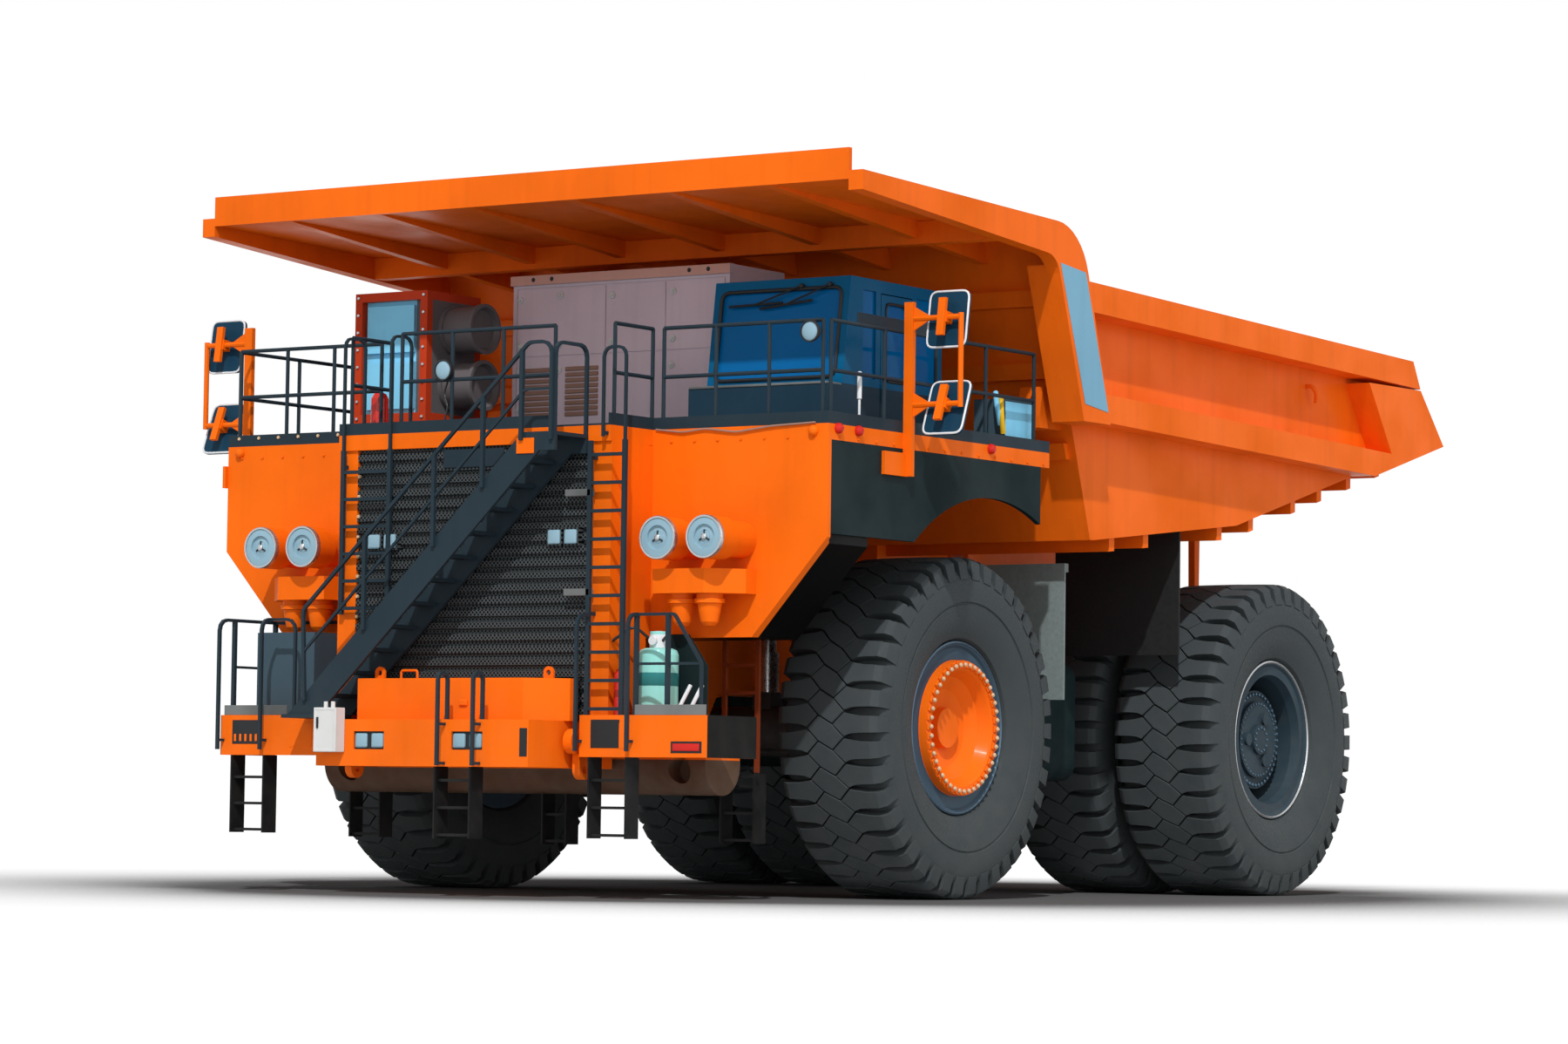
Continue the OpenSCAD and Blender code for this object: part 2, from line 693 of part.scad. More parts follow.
// Grille panel folded into level ribs, with two pairs of square lamps on it
module grille() {
    n = 22;
    pitch = (band_z - step_top) / n;
    fold = 40;
    ribs = [for (i = [0:n - 1], c = [[0, 0.1], [0, 0.6], [fold, 0.72], [fold, 1]])
        [nose_y + c[0], step_top + (i + c[1]) * pitch]];
    color([0.07, 0.07, 0.08]) placed() union() {
        along_x(concat([[nose_y + 70, step_top], [nose_y + fold, step_top]], ribs, [[nose_y + 70, band_z]]),
            -grille_x, grille_x);
        for (x = grille_lamp_x, d = [0, lamp_pitch])
            box(x + d, x + d + lamp_side, nose_y - 45, nose_y + 50, lamp_z - 70, lamp_z - 70 + lamp_side);
    }
}

// Pillars beside the grille and the fender boxes
module nose_and_fenders() {
    color([0.88, 0.35, 0.05]) placed() both() {
        box(grille_x, nose_x, nose_y, step_back, step_top, band_z);
        difference() {
            union() {
                along_y([[nose_x, band_z], [deck_x, band_z], [deck_x, fender_slant_z],
                    [fender_slant_x, fender_z], [nose_x, fender_z]], fender_y, fender_y + skin_t);
                along_y([[nose_x, band_z], [deck_x - skin_t, band_z],
                    [deck_x - skin_t, fender_slant_z - skin_t],
                    [fender_slant_x, fender_z], [nose_x, fender_z]], fender_y + skin_t, fender_back);
            }
            along_y([[nose_x + skin_t, band_z - skin_t], [deck_x - 2 * skin_t, band_z - skin_t],
                [deck_x - 2 * skin_t, fender_slant_z - skin_t], [fender_slant_x, fender_z + skin_t],
                [nose_x + skin_t, fender_z + skin_t]], fender_y + skin_t, fender_back + 1);
        }
    }
}

// Four lamps in deep round hoods, each with a stepped back, a rim and a shallow lens
module headlamps() {
    deep = fender_y - lamp_y;
    color([0.88, 0.35, 0.05]) placed() both() for (x = [2420, 3020])
        translate([x, fender_y, lamp_z]) rotate([90, 0, 0]) rotate_extrude()
            polygon([[0, 0], [lamp_r - 30, 0], [lamp_r - 30, deep - 330], [lamp_r, deep - 315], [lamp_r, deep],
                [lamp_r - 24, deep], [lamp_r - 24, deep - 40], [0, deep - 14]]);
}

// Air cleaner housings with their dust cups
module air_cleaners() {
    z = lamp_z - 580;
    color([0.88, 0.35, 0.05]) placed() both() {
        along_z([[2180, fender_y], [2240, fender_y - 520], [2900, fender_y - 520], [3220, fender_y - 200],
            [3220, fender_y]], z, z + 260);
        for (x = [2480, 2830]) translate([x, fender_y - 300, z - 340]) rotate_extrude()
            polygon([[0, 0], [60, 0], [95, 40], [118, 150], [130, 235], [160, 240], [160, 285], [140, 290],
                [140, 340], [0, 340]]);
    }
}

deck_edge = [[-nose_x, deck_y], [nose_x, deck_y], [nose_x, fender_y], [deck_x, fender_y],
    [deck_x, deck_back], [-deck_x, deck_back], [-deck_x, fender_y], [-nose_x, fender_y]];
function inset(d) = [[d - nose_x, deck_y + d], [nose_x - d, deck_y + d], [nose_x - d, fender_y + d],
    [deck_x - d, fender_y + d], [deck_x - d, deck_back - d], [d - deck_x, deck_back - d],
    [d - deck_x, fender_y + d], [d - nose_x, fender_y + d]];

// Deck plate with the kick board round it
module deck() {
    color([0.3, 0.36, 0.4]) placed() union() {
        along_z(deck_edge, deck_under, deck_z);
        difference() {
            along_z(deck_edge, deck_z - 1, deck_z + kick_h);
            along_z(inset(kick_t), deck_z - 2, deck_z + kick_h + 1);
            box(landing_x - 460, nose_x - kick_t, deck_y - 1, deck_y + 100, deck_z, deck_z + kick_h + 1);
        }
    }
}

// Beam round the deck and the cross beams below it
module deck_beam() {
    color([0.88, 0.35, 0.05]) placed() union() {
        difference() {
            along_z(deck_edge, band_z, deck_under);
            along_z(inset(60), band_z - 1, deck_under + 1);
        }
        for (y = [-3300, -2400, -1200, 0, 1000])
            box(20 - deck_x, deck_x - 20, y, y + 100, band_z + 40, deck_under);
    }
}

// Side skirts with the wheel arch
module skirts() {
    a0 = asin((skirt_z - axle_z) / arch_r);
    a1 = acos(skirt_back / arch_r);
    color([0.27, 0.28, 0.3]) placed() both() along_x(concat([[skirt_back, band_z],
        [fender_y + skin_t, band_z], [fender_y + skin_t, skirt_z]],
        arc(0, axle_z, arch_r, 180 - a0, a1, 24)), deck_x - skin_t, deck_x);
}

// Side outline of the cab, d inside its skin
function cab_side(d) = [[cab_y + d, deck_z + d], [cab_y + d, screen_foot], [roof_y + d, cab_top - d],
    [cab_back - d, cab_top - d], [cab_back - d, deck_z + d]];

// Front window, side windows and rear window, as blocks to cut out
module window_blocks() {
    z0 = screen_foot + 40;
    z1 = cab_top - 130;
    box(cab_x + post_w, cab_x1 - post_w, cab_y - 50, roof_y + 150, z0, z1);
    box(cab_x - 1, cab_x + wall_t + 1, roof_y + 280, cab_back - 200, z0, z1);
    box(cab_x1 - wall_t - 1, cab_x1 + 1, roof_y + 250, door_y0 - 110, z0, z1);
    box(cab_x1 - wall_t - 1, cab_x1 + 1, door_y + 110, cab_back - 120, z0, z1);
    box(cab_x + 200, cab_x1 - 200, cab_back - wall_t - 1, cab_back + 1, z0, z1);
}

module cab_shell() {
    color([0.16, 0.2, 0.26]) placed() union() {
        difference() {
            along_x(cab_side(0), cab_x, cab_x1);
            along_x(cab_side(wall_t), cab_x + wall_t, cab_x1 - wall_t);
            window_blocks();
            box(cab_x1 - wall_t - 1, cab_x1 + 1, door_y0 - door_gap, door_y + door_gap,
                door_z0 - door_gap, door_z1 + door_gap);
        }
        box(cab_x - 40, cab_x1, base_y, cab_y, deck_z, deck_z + screen_z - 70);
        for (z = [door_z0 + 150, door_z1 - 300]) {
            box(hinge_x - hinge_r + 5, hinge_x + hinge_r - 5, hinge_y, hinge_y + 80, z - 50, z - fit);
            box(cab_x1 - 1, hinge_x + hinge_r - 5, hinge_y + 40, hinge_y + 80, z - 50, z - fit);
        }
    }
}

// Fixed panes, set in the middle of the cab's walls
module cab_glass() {
    m = (wall_t - glass_t) / 2;
    color([0.35, 0.45, 0.5, 0.5]) placed() intersection() {
        window_blocks();
        difference() {
            along_x(cab_side(m), cab_x + m, cab_x1 - m);
            along_x(cab_side(m + glass_t), cab_x + m + glass_t, cab_x1 - m - glass_t);
        }
    }
}

// Door leaf with its hinge barrel and handle
module cab_door() {
    color([0.16, 0.2, 0.26]) placed() union() {
        difference() {
            box(cab_x1 - wall_t, cab_x1, door_y0, door_y, door_z0, door_z1);
            box(cab_x1 - wall_t - 1, cab_x1 + 1, door_y0 + 90, door_y - 90, screen_foot + 40, door_z1 - 90);
        }
        for (z = [door_z0 + 150, door_z1 - 300])
            rod_z(hinge_x, hinge_y, z, z + 150, hinge_r);
        box(cab_x1 - 1, cab_x1 + 40, door_y0 + 40, door_y0 + 70, screen_foot - 200, screen_foot);
    }
}

module door_glass() {
    m = (wall_t - glass_t) / 2;
    color([0.35, 0.45, 0.5, 0.5]) placed() box(cab_x1 - m - glass_t, cab_x1 - m, door_y0 + 90, door_y - 90,
        screen_foot + 40, door_z1 - 90);
}

// Seat, console, steering column and wheel
module cab_interior() {
    x = cab_x + cab_w * 0.42;
    z = deck_z + wall_t;
    color([0.1, 0.1, 0.11]) placed() {
        union() {
            box(x - 180, x + 180, -950, -550, z, z + 350);
            box(x - 270, x + 270, -1010, -480, z + 349, z + 470);
            box(x - 250, x + 250, -560, -440, z + 469, z + 1150);
        }
        box(cab_x + wall_t, cab_x1 - wall_t, cab_y + wall_t, cab_y + wall_t + 330, z, z + screen_z - 80);
        translate([x, cab_y + wall_t + 200, z + 200]) rotate([-25, 0, 0]) union() {
            cylinder(h = 620, r = 45);
            translate([0, 0, 600]) cylinder(h = 40, r = 230);
        }
    }
}

// Cabinet for the drive's controls
module control_cabinet() {
    top = deck_z + cabinet_h;
    seam_z = deck_z + 1080;
    groove = 14;
    color([0.42, 0.4, 0.46]) placed() difference() {
        union() {
            box(cabinet_x0, cabinet_x1, cabinet_y, cabinet_y + cabinet_d, deck_z, top);
            box(cabinet_x0 - 20, cabinet_x1 + 20, cabinet_y - 30, cabinet_y + 60, top - 110, top);
        }
        for (x = [cabinet_x0 + 60, -340, 495, cabinet_x1 - 60])
            box(x - groove / 2, x + groove / 2, cabinet_y - 1, cabinet_y + groove, deck_z + 60, top - 160);
        for (z = [deck_z + 60, seam_z, top - 160])
            box(cabinet_x0 + 60, cabinet_x1 - 60, cabinet_y - 1, cabinet_y + groove, z, z + groove);
        for (x = [-1500, -890], i = [0:8])
            box(x, x + 450, cabinet_y - 1, cabinet_y + 30, deck_z + 390 + i * 65, deck_z + 425 + i * 65);
    }
}

rack_x0 = -3150;
rack_x1 = -2100;
rack_y0 = -2250;
rack_y1 = -1250;

// Square posts and beams that carry the resistors
module resistor_rack() {
    color([0.88, 0.35, 0.05]) placed() union() {
        for (x = [rack_x0, rack_x1 - rack_post], y = [rack_y0, rack_y1 - rack_post])
            box(x, x + rack_post, y, y + rack_post, deck_z, deck_z + rack_h);
        for (z = [300, rack_h - rack_post], y = [rack_y0, rack_y1 - rack_post])
            box(rack_x0, rack_x1, y, y + rack_post, deck_z + z, deck_z + z + rack_post);
        for (z = [300, rack_h - rack_post], x = [rack_x0, rack_x1 - rack_post])
            box(x, x + rack_post, rack_y0, rack_y1, deck_z + z, deck_z + z + rack_post);
    }
}

// Two stacked resistor boxes, each with a cover in front and a flanged blower drum at its end
module resistor_units() {
    z0 = deck_z + 300 + rack_post;
    h = (rack_h - 300 - 2 * rack_post) / 2;
    y0 = rack_y0 + rack_post;
    y1 = rack_y1 - rack_post;
    color([0.4, 0.5, 0.55]) placed() for (i = [0, 1]) union() {
        box(rack_x0 + 60, rack_x1 - 1, y0, y1, z0 + i * h, z0 + (i + 1) * h);
        box(rack_x0 + rack_post + 40, rack_x1 - rack_post - 130, y0 - 50, y0 + 1, z0 + i * h + 55,
            z0 + (i + 1) * h - 55);
        translate([rack_x1 - 2, (y0 + y1) / 2, z0 + (i + 0.5) * h])
            turned([[0, 0], [drum_r, 0], [drum_r, 50], [drum_r - 25, 50], [drum_r - 25, drum_l - 50],
                [drum_r, drum_l - 50], [drum_r, drum_l], [drum_r - 40, drum_l], [drum_r - 70, drum_l - 60],
                [0, drum_l - 60]]);
    }
}

// Stair across the nose from the right step up to the landing by the deck
module stairs() {
    deep = 410;
    z0 = step_top;
    far = deck_y;
    x1 = stair_foot_x + (stair_top - z0) / stair_rise;
    side = [[stair_foot_x, z0], [x1, stair_top], [landing_x, stair_top], [landing_x, stair_top - 200],
        [stair_foot_x + (stair_top - 200 - z0 + deep) / stair_rise, stair_top - 200],
        [stair_foot_x + deep / stair_rise, z0]];
    color([0.2, 0.27, 0.31]) placed() union() {
        along_y(side, stair_near, stair_near + stair_t);
        along_y(side, far - stair_t, far);
        for (i = [1:11]) {
            z = z0 + (stair_top - z0) * i / 12;
            x = stair_foot_x + (z - z0) / stair_rise;
            box(x + 20, x + 280, stair_near, far, z - 60, z - 20);
        }
        box(x1, landing_x, stair_near, far, stair_top - 40, stair_top);
        box(stair_foot_x - 60, -bumper_x - 5, stair_near - 40, step_y, z0 - 40, z0);
    }
}

// Bar bent in X and Z at one depth
module bar_y(path, y, r, bend) {
    along_y(strip(bent(path, bend), r), y - r, y + r);
}

// Bar bent in Y and Z at one distance from the centre line
module bar_x(path, x, r, bend) {
    along_x(strip(bent(path, bend), r), x - r, x + r);
}

// Handrail of the stair, with the guard at the end of its landing
module stair_rail() {
    y = stair_near - tube_r;
    x1 = stair_foot_x + (stair_top - step_top) / stair_rise;
    end_x = landing_x - 40;
    low = [stair_foot_x + 250, step_top + 250 * stair_rise];
    p = low + [-40, 900];
    q = [x1 + 90, stair_top + 950];
    union() {
        bar_y([low - [0, 90], p, q, [end_x, q[1]], [end_x, stair_top - 90]], y, tube_r - 4, 120);
        bar_y([low + [-20, 450], [x1 + 40, q[1] - 500], [end_x, q[1] - 500]], y, tube_r - 8, 120);
        for (x = [-960, -30, 620, x1])
            box(x - tube_r, x + tube_r, y - tube_r, y + tube_r, step_top + (x - stair_foot_x) * stair_rise - 90,
                p[1] + min(x - p[0], q[0] - p[0]) * (q[1] - p[1]) / (q[0] - p[0]));
    }
    bar_x([[stair_near + 20, stair_top], [stair_near + 20, q[1]], [deck_y - 20, q[1]],
        [deck_y - 20, stair_top]], landing_x - 20, tube_r - 4, 120);
}

// Upright of a step's rail, held by a stud before the step's face and bent back over the step
module step_leg(x, back) {
    union() {
        bar_x([[step_y - 100, step_z + 60], [step_y - 100, step_top + 1060], [back, step_top + 1060]], x,
            tube_r - 4, 120);
        box(x - 15, x + 15, step_y - 100, step_y, step_z + 150, step_z + 180);
    }
}

// Handrails of the stair, the steps and the bumper
module stair_rails() {
    y = step_y + 60;
    top = step_top + 1060;
    mid = step_top + 540;
    side = 40 - step_out;
    rear = step_back - 40;
    color([0.2, 0.27, 0.31]) placed() {
        stair_rail();
        union() {
            step_leg(side, rear + tube_r);
            for (p = [y + 100, rear])
                box(side - tube_r, side + tube_r, p - tube_r, p + tube_r, step_top, top);
            box(side - 14, side + 14, y + 100, rear, mid - 14, mid + 14);
            box(side, -2250, rear - 18, rear + 18, top - 18, top + 18);
            box(-2250 - tube_r, -2250 + tube_r, rear - tube_r, rear + tube_r, step_top, top + tube_r);
        }
        union() {
            step_leg(-2650, y + tube_r);
            bar_y([[-2650, top], [-2300, top], [-2300, step_top]], y, tube_r - 6, 120);
        }
        step_leg(1670, nose_y - 130 - fit);
        union() {
            step_leg(2335, y + tube_r);
            bar_y([[2335, top], [2820, top], [3170, mid], [3170, step_top]], y, tube_r - 6, 60);
            for (x = [2335, 2740]) box(x - tube_r, x + tube_r, y - tube_r, y + tube_r, step_top, top);
            box(2335, 3170, y - 14, y + 14, mid - 14, mid + 14);
        }
        for (x = [320, 790]) union() {
            f = bumper_y - 150 + tube_r;
            bar_x([[f, bumper_z + 10], [f, bumper_top + 490], [bumper_y + 40, bumper_top + 490],
                [bumper_y + 40, bumper_top]], x, tube_r - 4, 70);
            for (z = [bumper_z + 35, bumper_top - 50]) box(x - 15, x + 15, f, bumper_y, z - 15, z + 15);
        }
    }
}

// Straight ladder between two heights, its rails at x0 and x1
module ladder(x0, x1, y, z0, z1, pitch) {
    n = floor((z1 - z0 - 100) / pitch);
    union() {
        for (x = [x0, x1]) box(x - 25, x + 25, y - 20, y + 20, z0, z1);
        for (i = [0:n]) box(x0, x1, y - 18, y + 18, z0 + 50 + i * pitch, z0 + 86 + i * pitch);
    }
}

// Ladder that hangs from a step: two deep plates with rungs between
module hung_ladder(x0, x1, y, z0, z1, pitch) {
    n = floor((z1 - z0 - 40) / pitch);
    union() {
        for (x = [x0, x1]) box(x - 10, x + 10, y, y + hung_d, z0, z1);
        for (i = [0:n]) box(x0, x1, y + 40, y + hung_d - 40, z0 + 20 + i * pitch, z0 + 50 + i * pitch);
    }
}

// Ladders on the nose and those that hang below the bumper, the cross tube and the fenders
module ladders() {
    hoop_z = deck_z + rail_h - 20;
    color([0.2, 0.27, 0.31]) placed() {
        union() {
            ladder(-1750, -1100, nose_y - 70, 3050, band_z, 300);
            for (x = [-1750, -1100]) {
                for (z = [3150, band_z - 200]) box(x - 20, x + 20, nose_y - 70, nose_y, z, z + 40);
                bar_x([[nose_y - 70, band_z - 100], [nose_y - 70, hoop_z], [nose_y + 280, hoop_z],
                    [nose_y + 280, deck_z]], x, 15, 100);
            }
        }
        union() {
            ladder(1650, 2100, nose_y - 110, step_top, band_z, 300);
            for (z = [3000, band_z - 200]) box(1630, 1670, nose_y - 110, nose_y, z, z + 40);
            bar_y([[2100, band_z - 100], [2100, hoop_z - 260], [1810, hoop_z - 260], [1810, band_z + 40]],
                nose_y - 110, 15, 100);
            box(1795, 1825, nose_y - 110, deck_y, band_z + 60, band_z + 100);
        }
        hung_ladder(-3140, -2680, step_y, 640, step_z, 290);
        hung_ladder(1775, 2260, step_y, 640, step_z, 290);
        hung_ladder(190, 660, bumper_y, 620, bumper_z, 290);
        hung_ladder(290, 610, cross_y - hung_d / 2, 560, cross_z - cross_r - fit, 290);
        both() union() {
            ladder(2340, 2770, fender_back - 150, 1250, fender_z, 300);
            hung_ladder(2340, 2770, fender_back - 210, 600, 1350, 290);
        }
    }
}

// One straight panel of handrail between two points on the deck
module rail_panel(p, q, n) {
    up = [0, 0, rail_h];
    union() {
        for (i = [0:n]) tube(p + (q - p) * i / n, p + (q - p) * i / n + up, tube_r);
        tube(p + up, q + up, tube_r);
        tube(p + up * 0.51, q + up * 0.51, tube_r);
    }
}

module deck_rails() {
    e = kick_t + tube_r + 8;
    x = deck_x - e;
    y = fender_y + e;
    ny = deck_y + e;
    nx = nose_x - e;
    z = deck_z;
    color([0.2, 0.27, 0.31]) placed() {
        rail_panel([nx + 150, y, z], [x - 60, y, z], 3);
        rail_panel([60 - x, y, z], [-nx - 150, y, z], 3);
        rail_panel([-1030, ny, z], [landing_x - 500, ny, z], 3);
        for (s = [-1, 1]) {
            rail_panel([s * x, y + 60, z], [s * x, deck_back - e - 200, z], 4);
            rail_panel([s * nx, ny + 80, z], [s * nx, y, z], 1);
        }
    }
}

// Place of the lower or the upper mirror on its arm, tilted toward the driver
module at_mirror(i, y) {
    translate([(mast_x + mirror_out) / 2 + 75, y, mirror_arm[i]]) rotate([-mirror_tilt[i], 0, 0]) children();
}

// Frame of post, foot, arms with gussets, outer bar and the spines that hold the mirrors outside the deck
module mirror_bracket(y) {
    color([0.88, 0.35, 0.05]) union() {
        box(deck_x, mast_x, y - mirror_r, y + mirror_r, band_z - 300, mirror_arm[1] + 180);
        box(deck_x, deck_x + 40, y - 450, y + mirror_r, band_z - 300, band_z - 50);
        for (i = [0, 1]) {
            z = mirror_arm[i];
            tube([mast_x - 20, y, z], [mirror_out, y, z], mirror_r);
            along_y([[mast_x - 1, z - 130], [mast_x + 220, z - 10], [mast_x + 220, z + 10],
                [mast_x - 1, z + 130]], y - 10, y + 10);
            at_mirror(i, y) {
                box(-45, 45, -62, -18, -205, 205);
                box(-60, 60, -40, mirror_off - fit, -60, 60);
            }
        }
        tube([mirror_out, y, mirror_arm[0] - 40], [mirror_out, y, mirror_arm[1] + 40], mirror_r);
    }
}

module mirror_brackets() {
    placed() {
        mirror_bracket(left_mirror_y);
        mirror([1, 0, 0]) mirror_bracket(right_mirror_y);
    }
}

// Two mirror heads with rounded corners
module mirror_pair(y) {
    c = [[-245, -310], [245, -310], [245, 310], [-245, 310]];
    head = [for (i = [0:3]) each round_corner(c[(i + 3) % 4], c[i], c[(i + 1) % 4], 70, 4)];
    for (i = [0, 1]) at_mirror(i, y) along_y(head, mirror_off, mirror_off + 45);
}

module mirrors() {
    color([0.12, 0.12, 0.13]) placed() {
        mirror_pair(left_mirror_y);
        mirror([1, 0, 0]) mirror_pair(right_mirror_y);
    }
}

module lube_tank() {
    color([0.1, 0.4, 0.5]) placed() union() {
        translate([2250, -3720, step_top]) rotate_extrude()
            polygon([[0, 0], [215, 0], [215, 650], [195, 700], [150, 720], [95, 724], [95, 900], [0, 900]]);
    }
}

// Battery box on the right step, junction box on the bumper's front and control box on the deck
module battery_box() {
    color([0.25, 0.26, 0.28]) placed() {
        box(-3090, -2270, -3950, -3480, step_top, lamp_z - 950);
        box(-1340, -1040, bumper_y - 150, bumper_y, bumper_z + 150, bumper_z + 620);
        box(3550, 3950, deck_back - 730, deck_back - 110, deck_z, deck_z + 550);
    }
}

// Upright bottle with shoulder and valve
module bottle(x, y, z, h, r) {
    translate([x, y, z]) rotate_extrude()
        polygon([[0, 0], [r, 0], [r, h - 130], [r * 0.7, h - 75], [30, h - 55], [30, h], [0, h]]);
}

module extinguishers() {
    color([0.7, 0.05, 0.05]) placed() {
        bottle(1960, -3980, step_top, 560, 85);
        bottle(-2150, fender_y + 300, deck_z, 620, 100);
    }
}

// Fuel tank on the left and hydraulic tank on the right, on brackets from the rails
module tanks() {
    color([0.85, 0.3, 0.05]) placed() {
        union() {
            along_y(concat(round_corner([1300, 2750], [1020, 2750], [1020, 1350], 200, 6),
                round_corner([1020, 2750], [1020, 1350], [2900, 1350], 200, 6),
                round_corner([1020, 1350], [2900, 1350], [2900, 2750], 200, 6),
                round_corner([2900, 1350], [2900, 2750], [1020, 2750], 200, 6)), tank_y0, tank_y1);
            for (y = [tank_y0 + 80, tank_y1 - 150]) box(rail_out, 1100, y, y + 80, 2620, 2700);
        }
        mirror([1, 0, 0]) union() {
            along_y(concat(round_corner([1300, 2700], [1020, 2700], [1020, 1500], 180, 6),
                round_corner([1020, 2700], [1020, 1500], [2400, 1500], 180, 6),
                round_corner([1020, 1500], [2400, 1500], [2400, 2700], 180, 6),
                round_corner([2400, 1500], [2400, 2700], [1020, 2700], 180, 6)), tank_y0, tank_y1);
            for (y = [tank_y0 + 80, tank_y1 - 150]) box(rail_out, 1100, y, y + 80, 2600, 2690);
        }
    }
}

// Mudflaps behind the front wheels on arms from the frame
module front_flaps() {
    color([0.3, 0.3, 0.3]) placed() both() union() {
        box(2100, 3550, 2560, 2590, 2280, 3860);
        box(bolster_out + 20, 3550, 2590, 2650, 3760, 3860);
        box(bolster_out + 20, bolster_out + 80, 2590, 2650, 3200, 3860);
        box(rail_out, bolster_out + 80, 2590, 2650, 3200, 3400);
    }
}

// Floor with its long beams, cross ribs, tipping ears and hoist ears
module body_floor() {
    y0 = head(floor_z) + head_t + fit;
    top = under(y0) + floor_t;
    color([0.85, 0.32, 0.05]) placed() {
        union() {
            along_x([[y0, under(y0)], [bend_y, under(bend_y)], [tail_y, under(tail_y)],
                [tail_y, under(tail_y) + floor_t], [bend_y, under(bend_y) + floor_t],
                [head(top) + head_t + fit, top]], -side_x, side_x);
            both() {
                along_x([[2500, frame_top], [tip_y - 250, frame_top], [tip_y + 250, frame_top + 420],
                    [tip_y + 700, under(tip_y + 700) + 1], [bend_y, under(bend_y) + 1],
                    [2500, under(2500) + 1]], bolster_in, bolster_out);
                for (x = [[bolster_in, rail_x - turn_gap], [rail_out + turn_gap, bolster_out]]) {
                    along_x([[tip_y - 260, frame_top + 5], [tip_y - 205, tip_z], [tip_y + 205, tip_z],
                        [tip_y + 260, frame_top + 430]], x[0], x[1]);
                    rod_x(x[0], x[1], tip_y, tip_z, 205);
                }
                rod_x(bolster_in, bolster_out, tip_y, tip_z, tip_pin_r);
                for (x = [-1, 1]) along_x([[head_y - 200, under(head_y - 200) + 1], [head_y - 130, head_z],
                    [head_y - 80, head_z - 110], [head_y + 80, head_z - 110], [head_y + 130, head_z],
                    [head_y + 200, under(head_y + 200) + 1]],
                    hoist_x + x * (ear_gap + 30) - 30, hoist_x + x * (ear_gap + 30) + 30);
            }
            for (y = [2700, 3500, 5300, 6100, 7200, 7900, 8700, 9500])
                along_x([[y, under(y) - 160], [y + 120, under(y + 120) - 160], [y + 120, under(y + 120) + 1],
                    [y, under(y) + 1]], -side_x, side_x);
        }
    }
}

module body_headboard() {
    z1 = meet(0) - fit;
    z2 = meet(head_t) - fit;
    color([0.85, 0.32, 0.05]) placed() union() {
        along_x([[head(floor_z), floor_z], [head(floor_z) + head_t, floor_z], [head(z2) + head_t, z2],
            [head(z1), z1]], -side_x - side_t, side_x + side_t);
        for (z = [5000, 5900, 6700])
            along_x([[head(z) + 1, z], [head(z + 180) + 1, z + 180], [head(z + 180) - 90, z + 180],
                [head(z) - 90, z]], 40 - side_x, side_x - 40);
        both() along_x([[deck_back + 45, 5330], [head(5330) + 1, 5330], [head(5800) + 1, 5800],
            [deck_back + 110, 5800], [deck_back + 45, 5466]], 3650, 3950);
    }
}

// One stripe along the body's side between two heights at the front
module stripe(z, h, y1) {
    y0 = -500;
    along_x([[y0, z + h / 2 - (y0 - 2000) * belt_fall], [y1, z + h / 2 - (y1 - 2000) * belt_fall],
        [y1, z - h / 2 - (y1 - 2000) * belt_fall], [y0, z - h / 2 - (y0 - 2000) * belt_fall]],
        side_x + side_t - 1, belt_x);
}

// Side walls with the belt, the rim and the panel at the tail
module body_sides() {
    top_y = 9811;
    wall = [[head(floor_z) + head_t, floor_z], [bend_y, under(bend_y)], [tail_y, under(tail_y)],
        [10028, 6438], [top_y, rim_z + rim_h / 2 - (top_y - 2000) * belt_fall],
        [head(6990) + head_t, rim_z + rim_h / 2 - (head(6990) + head_t - 2000) * belt_fall]];
    back = [[post_rear(floor_z) + fit, floor_z], [post_rear(lip_z) + fit, lip_z], [tail_y + 100, lip_z],
        [tail_y + 100, floor_z]];
    color([0.85, 0.32, 0.05]) placed() both() union() {
        along_x(wall, side_x, side_x + side_t);
        intersection() {
            union() {
                stripe(belt_z, belt_h, 11000);
                stripe(rim_z, rim_h, 11000);
                along_x([[8567, 6424], [10028, 6438], [tail_y, under(tail_y)], [9362, 5602 - 240]],
                    side_x + side_t - 1, belt_x);
            }
            along_x(wall, side_x, belt_x + 1);
            along_x(back, side_x, belt_x + 1);
        }
    }
}

